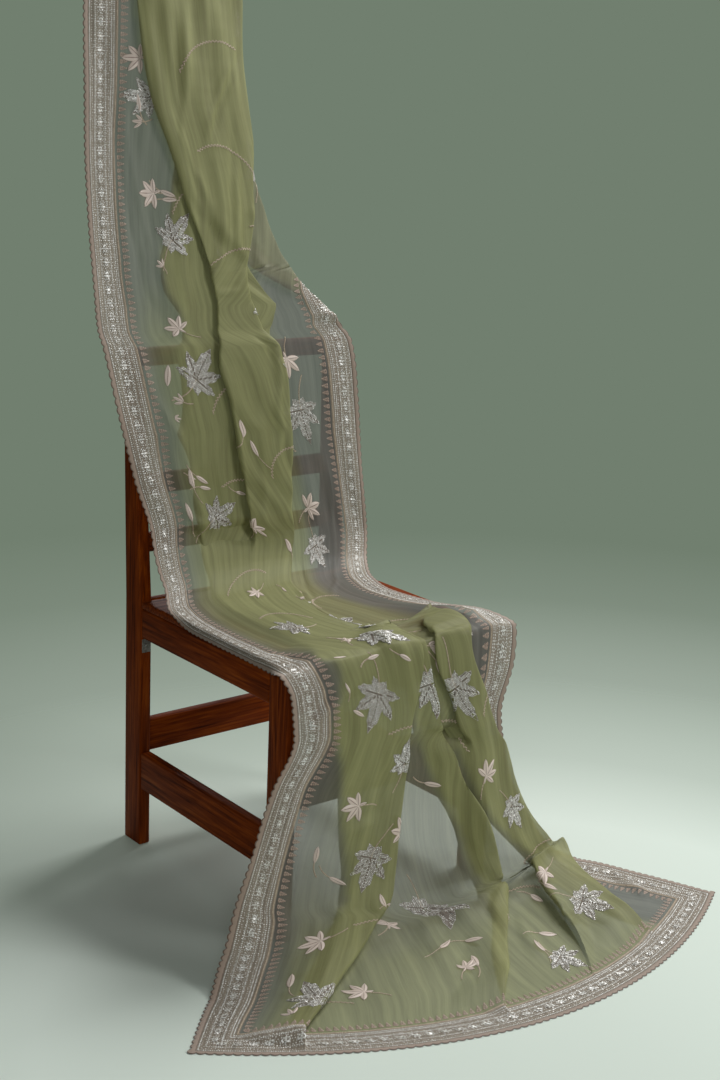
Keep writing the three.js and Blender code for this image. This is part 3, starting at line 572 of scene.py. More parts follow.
def makeCloth():
    organza = organzaMaterial("silk organza", organzaLook)
    ground = organzaMaterial("embroidered organza", borderLook)
    stretches = ("floor", "fall", "seat", "back", "upper")
    hem, side = sheet["hemRows"], clothSize["borderColumns"]
    last = sheet["across"].shape[1]
    sheer = organzaMaterial("border organza", organzaLook)
    body = sheetPiece("bodyCloth", slice(hem, None), slice(side, last - side), organza)
    left = sheetPiece("leftBorder", slice(hem, None), slice(0, side + 1), ground)
    right = sheetPiece("rightBorder", slice(hem, None), slice(last - side - 1, None), ground)
    end = sheetPiece("endBorder", slice(0, hem + 1), slice(None), ground)
    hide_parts(*[f"cloth_{name}" for name in stretches])
    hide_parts(*[f"border_left_{name}" for name in stretches])
    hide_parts(*[f"border_right_{name}" for name in stretches])
    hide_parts("border_end_hem")
    for piece in (left, right, end):  # past the worked ground the border's inner row is sewn on plain organza
        piece.data.materials.append(sheer)
        for face in piece.data.polygons:
            across, along = (sum(piece.data.uv_layers["cloth"].data[i].uv[k] for i in face.loop_indices) / 4 / mm
                             for k in (0, 1))
            inFromEdge = min(across, clothSize["width"] - across, along)
            face.material_index = 1 if inFromEdge > clothSize["workedTo"] else 0
    for piece in (body, left, right, end):
        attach(piece, "root")
    print("cloth made")
    return body, left, right, end


def sewn(shape, places, tilts=None):  # places: across, along, turn in degrees from up the cloth, size
    local, places = np.array(shape["points"], dtype=float), np.array(places, dtype=float)
    turn, size = np.radians(places[:, 2])[:, None], places[:, 3][:, None]
    side, ahead = local[:, 0] * size, local[:, 1] * size
    lift = local[:, 2] * np.ones_like(size)
    if tilts is not None:
        lift = lift + side * tilts[:, :1] + ahead * tilts[:, 1:]
    across = places[:, :1] + side * np.cos(turn) + ahead * np.sin(turn)
    along = places[:, 1:2] - side * np.sin(turn) + ahead * np.cos(turn)
    points = onCloth(np.stack([across.ravel(), along.ravel()], axis=1), lift.ravel())
    faces = [[i + len(local) * k for i in face] for k in range(len(places)) for face in shape["faces"]]
    uvs = np.tile(np.array(shape["uvs"], dtype=float), (len(places), 1)) if "uvs" in shape else None
    return points, faces, uvs


def sewnPiece(name, shape, places, material, tilts=None):
    points, faces, uvs = sewn(shape, places, tilts)
    piece = meshPiece(name, points, faces, material, uvs)
    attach(piece, "root")
    return piece


def cluster(shape, parts):  # one shape made of turned and sized copies of another
    points, faces, uvs = [], [], []
    for side, ahead, turn, size in parts:
        a = math.radians(turn)
        faces += [[i + len(points) for i in face] for face in shape["faces"]]
        for x, y, z in shape["points"]:
            points.append((side + size * (x * math.cos(a) + y * math.sin(a)),
                           ahead + size * (y * math.cos(a) - x * math.sin(a)), z))
        uvs += shape.get("uvs", [])
    return {"points": points, "faces": faces, "uvs": uvs} if uvs else {"points": points, "faces": faces}


def domed(length, width, height, sides):  # a low stitch or bead with one high point
    ring = [(width / 2 * math.sin(2 * math.pi * k / sides), length / 2 * math.cos(2 * math.pi * k / sides), 0.2)
            for k in range(sides)]
    return {"points": ring + [(0, 0, height)], "faces": [((k + 1) % sides, k, sides) for k in range(sides)]}


def petal(length, width, height, rows, columns):  # satin stitched, pointed, with a groove down its middle
    points, uvs, faces = [], [], []
    for r in range(rows + 1):
        u = r / rows
        half = width / 2 * 2.45 * (u + 0.02) ** 0.62 * (1 - u) ** 0.72
        for c in range(columns + 1):
            w = 2 * c / columns - 1
            points.append((half * w, length * u, 0.25 + height * (1 - w * w) - 0.35 * height * (1 - abs(w)) ** 3))
            uvs.append((0.5 + w / 2, u))
    for r in range(rows):
        for c in range(columns):
            i = r * (columns + 1) + c
            faces.append((i, i + 1, i + columns + 2, i + columns + 1))
    return {"points": points, "faces": faces, "uvs": uvs}


leafShape = {  # a broad lobed leaf: turn from its tip, reach as a share of its size, half width in degrees
    "lobes": [(0, 0.92, 21), (45, 0.72, 19), (-48, 0.68, 19), (92, 0.58, 20), (-97, 0.55, 20), (150, 0.36, 18),
              (-153, 0.34, 18)],
    "core": 0.24, "points": 84, "rings": 3, "sequinPitch": 2.75, "veinGap": 0.8, "usualSize": 62,
}


def leafReach(turns):  # degrees from the tip -> distance from the middle, as a share of the size
    reach = np.full(np.shape(turns), leafShape["core"])
    for turn, length, half in leafShape["lobes"]:
        off = np.abs((np.asarray(turns) - turn + 180) % 360 - 180)
        teeth = 1 + 0.07 * np.cos(np.radians(off) * 26)
        beyond = (length * teeth - leafShape["core"]) * np.exp(-(off / half) ** 1.7)
        reach = np.maximum(reach, leafShape["core"] + beyond)
    return reach


def leafPatch():
    count = leafShape["points"]
    turns = -np.arange(count) * 360 / count  # anticlockwise seen from the front
    reach = leafReach(turns) * leafShape["usualSize"]
    points, faces = [(0, 0, 0.25)], []
    for ring in range(1, leafShape["rings"] + 1):
        for k in range(count):
            r = reach[k] * ring / leafShape["rings"]
            points.append((r * math.sin(math.radians(turns[k])), r * math.cos(math.radians(turns[k])), 0.25))
    for k in range(count):
        after = (k + 1) % count
        faces.append((0, 1 + k, 1 + after))
        for ring in range(leafShape["rings"] - 1):
            i, j = 1 + ring * count + k, 1 + ring * count + after
            faces.append((i, i + count, j + count, j))
    return {"points": points, "faces": faces}


def leafOutline(width=1.1, height=0.9):
    count = leafShape["points"]
    turns = -np.arange(count) * 360 / count
    reach = leafReach(turns) * leafShape["usualSize"]
    points, faces = [], []
    for off, lift in ((-width / 2, 0.2), (0, height), (width / 2, 0.2)):
        for k in range(count):
            r = reach[k] + off
            points.append((r * math.sin(math.radians(turns[k])), r * math.cos(math.radians(turns[k])), lift))
    for k in range(count):
        after = (k + 1) % count
        for ring in (0, count):
            faces.append((ring + k, ring + count + k, ring + count + after, ring + after))
    return {"points": points, "faces": faces}


def leafSequins():  # places inside the outline, none on the veins
    pitch, size = leafShape["sequinPitch"], leafShape["usualSize"]
    places = []
    reachMost = size * 0.95
    for row in range(-int(reachMost / pitch), int(reachMost / pitch) + 1):
        for step in range(-int(reachMost / pitch), int(reachMost / pitch) + 1):
            x, y = (step + 0.5 * (row % 2)) * pitch, row * pitch * 0.87
            distance, turn = math.hypot(x, y), math.degrees(math.atan2(x, y))
            if distance > leafReach(turn) * size - 1.3:
                continue
            onVein = any(abs(distance * math.sin(math.radians(turn - lobe))) < leafShape["veinGap"]
                         and math.cos(math.radians(turn - lobe)) > 0 for lobe, _, _ in leafShape["lobes"][:5])
            if not onVein:
                places.append((x, y))
    return np.array(places)


def softLine(points, step):  # a smooth line through the points, in even steps
    points = np.array(points, dtype=float)
    padded = np.concatenate([[2 * points[0] - points[1]], points, [2 * points[-1] - points[-2]]])
    fine = []
    for a, b, c, d in zip(padded[:-3], padded[1:-2], padded[2:-1], padded[3:]):
        t = np.linspace(0, 1, 13)[:-1, None]
        fine.append(0.5 * (2 * b + (c - a) * t + (2 * a - 5 * b + 4 * c - d) * t ** 2
                           + (3 * b - a - 3 * c + d) * t ** 3))
    fine = np.concatenate(fine + [points[-1:]])
    reached = np.concatenate([[0], np.cumsum(np.linalg.norm(np.diff(fine, axis=0), axis=1))])
    at = np.linspace(0, reached[-1], max(2, round(reached[-1] / step)) + 1)
    return np.stack([np.interp(at, reached, fine[:, k]) for k in (0, 1)], axis=1)


def threadLines(lines, width, height, step=2.5):  # raised threads laid along lines on the cloth
    places, lifts, faces = [], [], []
    for line in lines:
        line = softLine(line, step)
        way = np.gradient(line, axis=0)
        way /= np.linalg.norm(way, axis=1)[:, None]
        beside = np.stack([way[:, 1], -way[:, 0]], axis=1)
        first = sum(len(p) for p in places)
        for off, lift in ((-width / 2, 0.2), (0, height), (width / 2, 0.2)):
            places.append(line + beside * off)
            lifts.append(np.full(len(line), lift))
        for k in range(len(line) - 1):
            for r in (0, len(line)):
                i = first + r + k
                faces.append((i, i + len(line), i + len(line) + 1, i + 1))
    return onCloth(np.concatenate(places), np.concatenate(lifts)), faces


def ropePlaces(lines, pitch=3.3, aside=0.9, slant=30):
    places = []
    for line in lines:
        line = softLine(line, pitch)
        way = np.gradient(line, axis=0)
        way /= np.linalg.norm(way, axis=1)[:, None]
        turns = np.degrees(np.arctan2(way[:, 0], way[:, 1]))
        for k, (place, turn) in enumerate(zip(line, turns)):
            side = 1 if k % 2 else -1
            off = np.array([way[k, 1], -way[k, 0]]) * aside * side
            places.append((*(place + off), turn + slant * side, 1))
    return places


stitchLook = {
    "sequin": "#efeeea", "sequinDim": "#c0bcb3", "silver": "#cdcac6", "net": "#8d8a81", "pink": "#d8c8bc",
    "vein": "#7c6154", "rope": "#c8b9a0", "trim": "#9a8778", "trimEdge": "#5f4c3d", "tree": "#bda998",
    "stitchMm": 0.9,
}


def threadMaterial(name, colour, dark, roughness, metal=0.0):  # embroidery floss: fine slanting stitches, soft sheen
    material, shader = newMaterial(name)
    place = addNode(material, "ShaderNodeTexCoord")
    lay = addNode(material, "ShaderNodeMapping", inputs={"Scale": (1000 / stitchLook["stitchMm"],) * 3},
                  links={"Vector": (place, "Object")})
    stitches = addNode(material, "ShaderNodeTexNoise", inputs={"Scale": 1, "Detail": 2},
                       links={"Vector": (lay, "Vector")})
    ramp = colourRamp(material, stitches, "Fac", [(0.36, dark), (0.6, colour)])
    bump = addNode(material, "ShaderNodeBump", inputs={"Strength": 0.3, "Distance": 0.0003},
                   links={"Height": (stitches, "Fac")})
    material.node_tree.links.new(ramp.outputs["Color"], shader.inputs["Base Color"])
    material.node_tree.links.new(bump.outputs["Normal"], shader.inputs["Normal"])
    shader.inputs["Metallic"].default_value = metal
    shader.inputs["Roughness"].default_value = roughness
    shader.inputs["Sheen Weight"].default_value = 0.2
    return material


def satinMaterial():  # pink satin stitch, darker down the middle of each petal
    material, shader = newMaterial("pink satin stitch")
    uv = addNode(material, "ShaderNodeUVMap", {"uv_map": "cloth"})
    split = addNode(material, "ShaderNodeSeparateXYZ", links={"Vector": (uv, "UV")})
    middle = addNode(material, "ShaderNodeMath", {"operation": "SUBTRACT"}, inputs={1: 0.5}, links={0: (split, "X")})
    side = addNode(material, "ShaderNodeMath", {"operation": "ABSOLUTE"}, links={0: (middle, 0)})
    rib = addNode(material, "ShaderNodeMapping", inputs={"Scale": (6, 34, 1), "Rotation": (0, 0, 0.5)},
                  links={"Vector": (uv, "UV")})
    stitches = addNode(material, "ShaderNodeTexNoise", inputs={"Scale": 1, "Detail": 2},
                       links={"Vector": (rib, "Vector")})
    shade = addNode(material, "ShaderNodeMath", {"operation": "MULTIPLY_ADD"}, inputs={1: 0.10},
                    links={0: (stitches, "Fac"), 2: (side, 0)})
    ramp = colourRamp(material, shade, 0, [(0.07, stitchLook["vein"]), (0.13, stitchLook["pink"]),
                                           (0.46, stitchLook["pink"]), (0.54, stitchLook["vein"])])
    bump = addNode(material, "ShaderNodeBump", inputs={"Strength": 0.25, "Distance": 0.0004},
                   links={"Height": (stitches, "Fac")})
    material.node_tree.links.new(ramp.outputs["Color"], shader.inputs["Base Color"])
    material.node_tree.links.new(bump.outputs["Normal"], shader.inputs["Normal"])
    shader.inputs["Roughness"].default_value = 0.45
    shader.inputs["Sheen Weight"].default_value = 0.35
    shader.inputs["Sheen Tint"].default_value = hexColour("#fff0ea")
    return material


def sequinMaterial():  # silver foil sequins, each a little brighter or duller than the next
    material, shader = newMaterial("silver sequins")
    place = addNode(material, "ShaderNodeTexCoord")
    spots = addNode(material, "ShaderNodeTexNoise", inputs={"Scale": 330, "Detail": 0},
                    links={"Vector": (place, "Object")})
    ramp = colourRamp(material, spots, "Fac", [(0.4, stitchLook["sequinDim"]), (0.6, stitchLook["sequin"])])
    material.node_tree.links.new(ramp.outputs["Color"], shader.inputs["Base Color"])
    shader.inputs["Metallic"].default_value = 0.18
    shader.inputs["Roughness"].default_value = 0.42
    return material


# Motifs on the body: across, along, turn of the tip, size or length in mm.
silverLeaves = [
    (167, 1782, 43, 62), (154, 1537, 39, 64), (122, 2013, -84, 56), (969, 1483, 169, 62), (150, 1299, 64, 58),
    (947, 1241, 155, 60), (210, 939, -69, 64), (200, 830, 142, 50), (155, 731, -159, 66), (776, 728, 154, 60),
    (551, 737, 166, 56), (230, 614, -13, 50), (858, 499, 167, 50), (211, 465, -171, 66), (515, 367, -163, 68),
    (154, 138, -28, 64), (837, 188, 163, 62), (692, 131, 150, 56),
    # on the hidden sides
    (221, 223, 30, 58), (750, 473, -60, 58), (963, 584, 80, 66), (305, 839, 30, 62), (961, 804, 170, 62),
    (500, 928, 120, 62), (757, 945, 80, 62), (531, 1052, 80, 58), (802, 1075, 30, 62), (770, 1175, 30, 66),
    (249, 1441, 30, 66), (775, 1401, -150, 62), (560, 1541, -20, 66), (830, 1555, 80, 58), (612, 1659, 170, 58),
    (278, 1779, 120, 62), (708, 1794, 30, 66), (912, 1905, -20, 62), (697, 1998, 80, 66), (648, 2122, 170, 62),
    (886, 2139, 30, 58), (314, 2265, -60, 58), (556, 2240, -150, 58), (950, 2269, 120, 66),
]
lilies = [
    (102, 2077, -93, 44), (140, 1860, -96, 46), (160, 1628, -43, 40), (951, 1566, 174, 44), (943, 1310, 68, 46),
    (284, 1274, 47, 42), (258, 1129, -114, 44), (161, 548, -109, 44), (130, 293, -103, 44), (400, 340, 33, 36),
    (839, 281, -95, 44), (318, 181, -78, 44), (477, 189, 48, 32), (266, 504, -39, 42), (801, 574, 41, 42),
    # on the hidden sides
    (612, 244, -60, 40), (421, 586, -150, 44), (369, 699, 120, 40), (407, 805, 120, 40), (383, 961, -110, 40),
    (612, 968, -60, 46), (408, 1087, 80, 40), (698, 1078, -150, 44), (519, 1173, 30, 44), (709, 1284, 80, 44),
    (615, 1422, -60, 40), (324, 1535, -150, 44), (705, 1510, 120, 44), (273, 1643, 80, 40), (786, 1660, 80, 46),
    (542, 1797, 120, 44), (837, 1772, 120, 40), (325, 1997, 170, 46), (222, 2113, 170, 46), (759, 2135, -20, 44),
    (181, 2241, 30, 46), (425, 2247, 170, 44), (695, 2232, -110, 40),
]
satinLeaves = [
    (106, 1992, -14, 28), (153, 1864, 111, 29), (156, 1850, 95, 27), (102, 1528, 16, 34), (113, 1357, -3, 34),
    (123, 1377, 124, 28), (127, 1357, 103, 24), (207, 1343, 105, 22), (95, 1299, -9, 34), (376, 1441, 25, 34),
    (398, 1407, -17, 30), (367, 1226, -40, 34), (334, 1126, 171, 22), (99, 801, 109, 20), (151, 777, 83, 22),
    (203, 773, 117, 18), (169, 840, 61, 22), (100, 739, -7, 15), (104, 710, 121, 22), (565, 576, 99, 29),
    (113, 450, -2, 28), (142, 428, 114, 29), (249, 371, 78, 22), (246, 366, -20, 34), (501, 260, 136, 34),
    (495, 180, -1, 34), (746, 285, 169, 34), (819, 263, 175, 31), (699, 201, 132, 34), (678, 158, -3, 31),
    (106, 188, -3, 34), (455, 258, 53, 33),
]
buds = [
    (111, 1975, -86, 20), (143, 1737, -47, 16), (121, 1503, -60, 18), (100, 1477, 100, 12), (673, 777, 113, 20),
    (673, 761, 128, 20), (130, 99, -31, 22), (181, 850, 60, 16), (110, 1375, 150, 14), (357, 1064, 140, 14),
]


stemWork = {"share": 0.95, "bend": 38, "shortest": 14, "clear": 92}  # clear of the cloth's worked edges
vineWork = {  # an ordinary repeat of curved sprigs, in mm and degrees
    "from": 150, "to": 2240, "rowPitch": 172, "columns": (235, 470, 705, 880), "stagger": 58,
    "aside": 60, "length": 145, "heading": 62, "curl": 95, "clear": 30,
}


def bentLine(across, along, heading, length, bend, steps=6):  # a line that turns evenly by bend over its length
    line = [(across, along)]
    for k in range(steps):
        a = math.radians(heading + bend * (k + 0.5) / steps)
        line.append((line[-1][0] + length / steps * math.sin(a), line[-1][1] + length / steps * math.cos(a)))
    return line


def stemLines():  # each motif stands on a short stem that bends a little, left and right by turns
    lines = []
    for k, (across, along, turn, size) in enumerate(lilies + silverLeaves + satinLeaves + buds):
        side = 1 if k % 2 else -1
        length = max(stemWork["shortest"], size * stemWork["share"])
        line = bentLine(across, along, turn + 180, length, side * stemWork["bend"])
        clear = stemWork["clear"]
        if all(clear < a < clothSize["width"] - clear and v > clear for a, v in line):
            lines.append(line)
    return lines


def vineLines():
    work, lines = vineWork, []
    taken = [(across, along) for across, along, _, _ in lilies + silverLeaves]
    for row, along in enumerate(range(work["from"], work["to"], work["rowPitch"])):
        for column, across in enumerate(work["columns"]):
            side = 1 if (row + column) % 2 else -1
            line = bentLine(across - side * work["aside"], along + (work["stagger"] if column % 2 else 0),
                            side * work["heading"], work["length"], side * work["curl"])
            if all(math.hypot(a - x, v - y) > work["clear"] for a, v in line for x, y in taken):
                lines.append(line)
    return lines


def borderRuns(fromEdge):  # a line all round the three worked edges, that far from the cloth's edge
    far, top = clothSize["width"] - fromEdge, clothSize["length"] - 1
    return [[(fromEdge, top), (fromEdge, fromEdge), (far, fromEdge), (far, top)]]


def evenPlaces(run, pitch, turn=0):  # places along straight legs; turn 0 faces into the cloth
    places = []
    for (a0, v0), (a1, v1) in zip(run[:-1], run[1:]):
        length = math.hypot(a1 - a0, v1 - v0)
        inward = math.degrees(math.atan2(-(v1 - v0), a1 - a0))
        for k in range(round(length / pitch)):
            t = (k + 0.5) / round(length / pitch)
            places.append((a0 + (a1 - a0) * t, v0 + (v1 - v0) * t, inward + turn, 1))
    return places


borderWork = {
    "trimInner": 11, "scallop": 13, "scallopDeep": 4.2,
    "beadLines": (13.5, 23.5, 43, 52.5, 56.5), "beadPitch": 3.2,
    "flowerLine": 33, "flowerPitch": 23, "satinLine": 61.5, "treeLine": 68, "treePitch": 11,
    "scatterFrom": 17, "scatterTo": 50, "scatterGap": 4.6,
}


def trimStrip(start, end, onSide):  # scallops along one edge; onSide(s, d) gives across, along
    steps = max(2, round((end - start) / (borderWork["scallop"] / 8)))
    s = np.linspace(start, end, steps + 1)
    scallops = np.abs(np.sin(math.pi * s / borderWork["scallop"])) ** 0.6
    outer = clothSize["edge"] - borderWork["scallopDeep"] * scallops
    inner = np.full_like(s, borderWork["trimInner"])
    across = [inner, inner * 0.7 + outer * 0.3, inner * 0.3 + outer * 0.7, outer]
    places = np.concatenate([np.array([onSide(a, b) for a, b in zip(s, d)]) for d in across])
    lifts = np.concatenate([np.full_like(s, h) for h in (0.3, 1.0, 1.1, 0.3)])
    uvs = np.concatenate([np.stack([s / borderWork["scallop"], np.full_like(s, w)], axis=1)
                          for w in (0, 0.33, 0.67, 1)])
    faces = []
    for r in range(3):
        for k in range(steps):
            i = r * (steps + 1) + k
            faces.append((i, i + 1, i + steps + 2, i + steps + 1))
    return onCloth(places, lifts), faces, uvs


def trimMaterial():  # close zigzag stitching in rose thread, darker along both edges
    material, shader = newMaterial("rose scalloped stitching")
    uv = addNode(material, "ShaderNodeUVMap", {"uv_map": "cloth"})
    split = addNode(material, "ShaderNodeSeparateXYZ", links={"Vector": (uv, "UV")})
    lay = addNode(material, "ShaderNodeMapping", inputs={"Scale": (14, 1.6, 1)}, links={"Vector": (uv, "UV")})
    stitches = addNode(material, "ShaderNodeTexNoise", inputs={"Scale": 1, "Detail": 2},
                       links={"Vector": (lay, "Vector")})
    shade = addNode(material, "ShaderNodeMath", {"operation": "MULTIPLY_ADD"}, inputs={1: 0.16},
                    links={0: (stitches, "Fac"), 2: (split, "Y")})
    edge, rose = stitchLook["trimEdge"], stitchLook["trim"]
    ramp = colourRamp(material, shade, 0, [(0.12, edge), (0.24, rose), (0.80, rose), (0.94, edge)])
    bump = addNode(material, "ShaderNodeBump", inputs={"Strength": 0.4, "Distance": 0.0005},
                   links={"Height": (stitches, "Fac")})
    material.node_tree.links.new(ramp.outputs["Color"], shader.inputs["Base Color"])
    material.node_tree.links.new(bump.outputs["Normal"], shader.inputs["Normal"])
    shader.inputs["Roughness"].default_value = 0.6
    shader.inputs["Sheen Weight"].default_value = 0.3
    return material


def makeEmbroidery():
    random = np.random.default_rng(11)
    sequins = sequinMaterial()
    silver = threadMaterial("silver thread", stitchLook["silver"], stitchLook["net"], 0.4, 0.4)
    net, rope = (threadMaterial(name, stitchLook[key], stitchLook[dark], 0.7)
                 for name, key, dark in (("grey net stitching", "net", "vein"), ("tan rope stitch", "rope", "vein")))
    satin, trim = satinMaterial(), trimMaterial()
    rose = threadMaterial("rose thread", stitchLook["tree"], stitchLook["vein"], 0.6)
    net.node_tree.nodes["Principled BSDF"].inputs["Alpha"].default_value = 0.72
    onBody, onBorder = [], []

    def flakes(places, size, tilt):
        corners = [(size * math.sin(math.pi * k / 3), size * math.cos(math.pi * k / 3), 0.95) for k in range(6)]
        shape = {"points": corners[::-1], "faces": [tuple(range(6))]}
        return shape, places, random.normal(0, tilt, (len(places), 2))

    # leaves of sequins: a net ground, a thread outline, and the sequins in rows
    scale = leafShape["usualSize"]
    leaves = [(across, along, turn, size / scale) for across, along, turn, size in silverLeaves]
    onBody.append(sewnPiece("leafGrounds", leafPatch(), leaves, net))
    onBody.append(sewnPiece("leafOutlines", leafOutline(), leaves, silver))
    inside, dots = leafSequins(), []
    for across, along, turn, size in leaves:
        a = math.radians(turn)
        for x, y in inside * size:
            dots.append((across + x * math.cos(a) + y * math.sin(a),
                         along + y * math.cos(a) - x * math.sin(a), 0, 1))
    shape, dots, tilts = flakes(dots, 1.1, 0.2)
    onBody.append(sewnPiece("leafSequins", shape, dots, sequins, tilts))

    # lilies, leaves and buds in satin stitch
    flower = cluster(petal(26, 10.5, 1.6, 6, 4), [(0, 0, turn, size) for turn, size in
                                                 ((4, 1), (46, 0.9), (-42, 0.94), (92, 0.74), (-88, 0.8), (168, 0.42))])
    onBody.append(sewnPiece("lilies", flower, [(a, v, t, s / 36) for a, v, t, s in lilies], satin))
    blade = petal(20, 6.2, 1.3, 6, 4)
    blades = [(a, v, t, s / 20) for a, v, t, s in satinLeaves]
    onBody.append(sewnPiece("satinLeaves", blade, blades, satin))
    bud = cluster(petal(15, 5, 1.2, 5, 4), [(0, 0, 0, 1), (-1.5, 0, -34, 0.85), (1.5, 0, 34, 0.85)])
    onBody.append(sewnPiece("buds", bud, [(a, v, t, s / 16) for a, v, t, s in buds], satin))
    points, faces = threadLines(stemLines(), 1.9, 1.0)
    onBody.append(meshPiece("stems", points, faces, rope))
    onBody.append(sewnPiece("ropeVines", domed(5.0, 2.5, 1.2, 8), ropePlaces(vineLines()), rope))

    # the worked border
    work = borderWork
    beads = [place for line in work["beadLines"] for run in borderRuns(line)
             for place in evenPlaces(run, work["beadPitch"])]
    onBorder.append(sewnPiece("beadLines", domed(2.5, 2.5, 1.4, 6), beads, sequins))
    legs = [leg for run in borderRuns(work["satinLine"]) for leg in zip(run[:-1], run[1:])]
    points, faces = threadLines(legs, 2.6, 1.1, 5)
    onBorder.append(meshPiece("satinLine", points, faces, rope))
    round6 = [(3.4 * math.sin(math.pi * k / 4), 5.6 * math.cos(math.pi * k / 4)) for k in range(8)]
    flowerDots = []
    for across, along, turn, _ in evenPlaces(borderRuns(work["flowerLine"])[0], work["flowerPitch"], 90):
        a = math.radians(turn)
        for share, size, ring in ((1, 0.8, round6), (1.7, 0.45, round6), (0, 1.1, [(0, 0)])):
            flowerDots += [(across + share * (x * math.cos(a) + y * math.sin(a)),
                            along + share * (y * math.cos(a) - x * math.sin(a)), 0, size) for x, y in ring]
    shape, flowerDots, tilts = flakes(flowerDots, 2.1, 0.16)
    onBorder.append(sewnPiece("borderFlowers", shape, flowerDots, sequins, tilts))
    scattered = []
    for line in np.arange(work["scatterFrom"], work["scatterTo"], work["scatterGap"]):
        scattered += evenPlaces(borderRuns(line)[0], work["scatterGap"])
    scattered = np.array(scattered)
    scattered[:, :2] += random.uniform(-0.9, 0.9, (len(scattered), 2))
    shape, scattered, tilts = flakes(scattered, 0.9, 0.2)
    onBorder.append(sewnPiece("borderSequins", shape, scattered, sequins, tilts))
    small = petal(5.2, 3.1, 0.7, 3, 2)
    tree = cluster(small, [(0, 0, 58, 0.95), (0, 0, -58, 0.95), (0, 3, 52, 0.85), (0, 3, -52, 0.85), (0, 6, 46, 0.7),
                           (0, 6, -46, 0.7), (0, 8, 0, 0.9)])
    trees = evenPlaces(borderRuns(work["treeLine"])[0], work["treePitch"])
    onBorder.append(sewnPiece("treeRow", tree, trees, rose))

    length, width = clothSize["length"] - 1, clothSize["width"]
    for name, start, end, onSide in (("leftTrim", 2, length, lambda s, d: (d, length + 2 - s)),
                                     ("rightTrim", 2, length, lambda s, d: (width - d, s)),
                                     ("endTrim", 0, width, lambda s, d: (s, d))):
        points, faces, uvs = trimStrip(start, end, onSide)
        onBorder.append(meshPiece(name, points, faces, trim, uvs))
    for pieces, slot in ((onBody, "organza"), (onBorder, "border")):
        for piece in pieces:
            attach(piece, "root")
    print("embroidery sewn", sum(len(piece.data.polygons) for piece in onBody + onBorder), "faces")
    return onBody, onBorder


timber = {"round": 0.004, "segments": 3, "endRound": 0.003}
timberLook = {"dark": "#3c1300", "mid": "#783000", "light": "#a04d08", "grainMm": 5, "roughness": 0.52}


def teakMaterial(name, grainAxis):  # oiled and polished teak: long brown grain, a soft shine
    look = timberLook
    material, shader = newMaterial(name)
    place = addNode(material, "ShaderNodeTexCoord")
    scale = [1000 / look["grainMm"]] * 3
    scale[grainAxis] /= 22
    long = addNode(material, "ShaderNodeMapping", inputs={"Scale": scale}, links={"Vector": (place, "Object")})
    grain = addNode(material, "ShaderNodeTexNoise",
                    inputs={"Scale": 1, "Detail": 6, "Roughness": 0.62, "Distortion": 0.4},
                    links={"Vector": (long, "Vector")})
    ramp = colourRamp(material, grain, "Fac", [(0.3, look["dark"]), (0.52, look["mid"]), (0.75, look["light"])])
    shine = colourRamp(material, grain, "Fac", [(0.3, look["roughness"] + 0.14), (0.7, look["roughness"])])
    bump = addNode(material, "ShaderNodeBump", inputs={"Strength": 0.15, "Distance": 0.0004},
                   links={"Height": (grain, "Fac")})
    links = material.node_tree.links
    links.new(ramp.outputs["Color"], shader.inputs["Base Color"])
    links.new(shine.outputs["Color"], shader.inputs["Roughness"])
    links.new(bump.outputs["Normal"], shader.inputs["Normal"])
    shader.inputs["Specular IOR Level"].default_value = 0.09
    shader.inputs["Coat Weight"].default_value = 0.02
    shader.inputs["Coat Roughness"].default_value = 0.25
    return material


def finishTimber(piece, node, material, roundness):
    bpy.ops.object.select_all(action="DESELECT")
    piece.select_set(True)
    bpy.context.view_layer.objects.active = piece
    bpy.ops.object.transform_apply(location=True, rotation=True, scale=True)
    bevel = piece.modifiers.new("edges", "BEVEL")
    bevel.width, bevel.segments = roundness, timber["segments"]
    bevel.limit_method, bevel.angle_limit = "ANGLE", 0.5
    bpy.ops.object.modifier_apply(modifier=bevel.name)
    bpy.ops.object.shade_smooth_by_angle(angle=math.radians(40))
    piece.data.materials.clear()
    piece.data.materials.append(material)
    piece.name = piece.data.name = f"{node}_shaped"
    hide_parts(node)
    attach(piece, "root")
    piece.select_set(False)


def timberBar(node, material, roundness=None):
    low, high = (Vector(corner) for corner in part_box(node))
    bpy.ops.mesh.primitive_cube_add(size=1, location=(low + high) / 2)
    piece = bpy.context.object
    piece.scale = high - low
    finishTimber(piece, node, material, roundness or timber["round"])


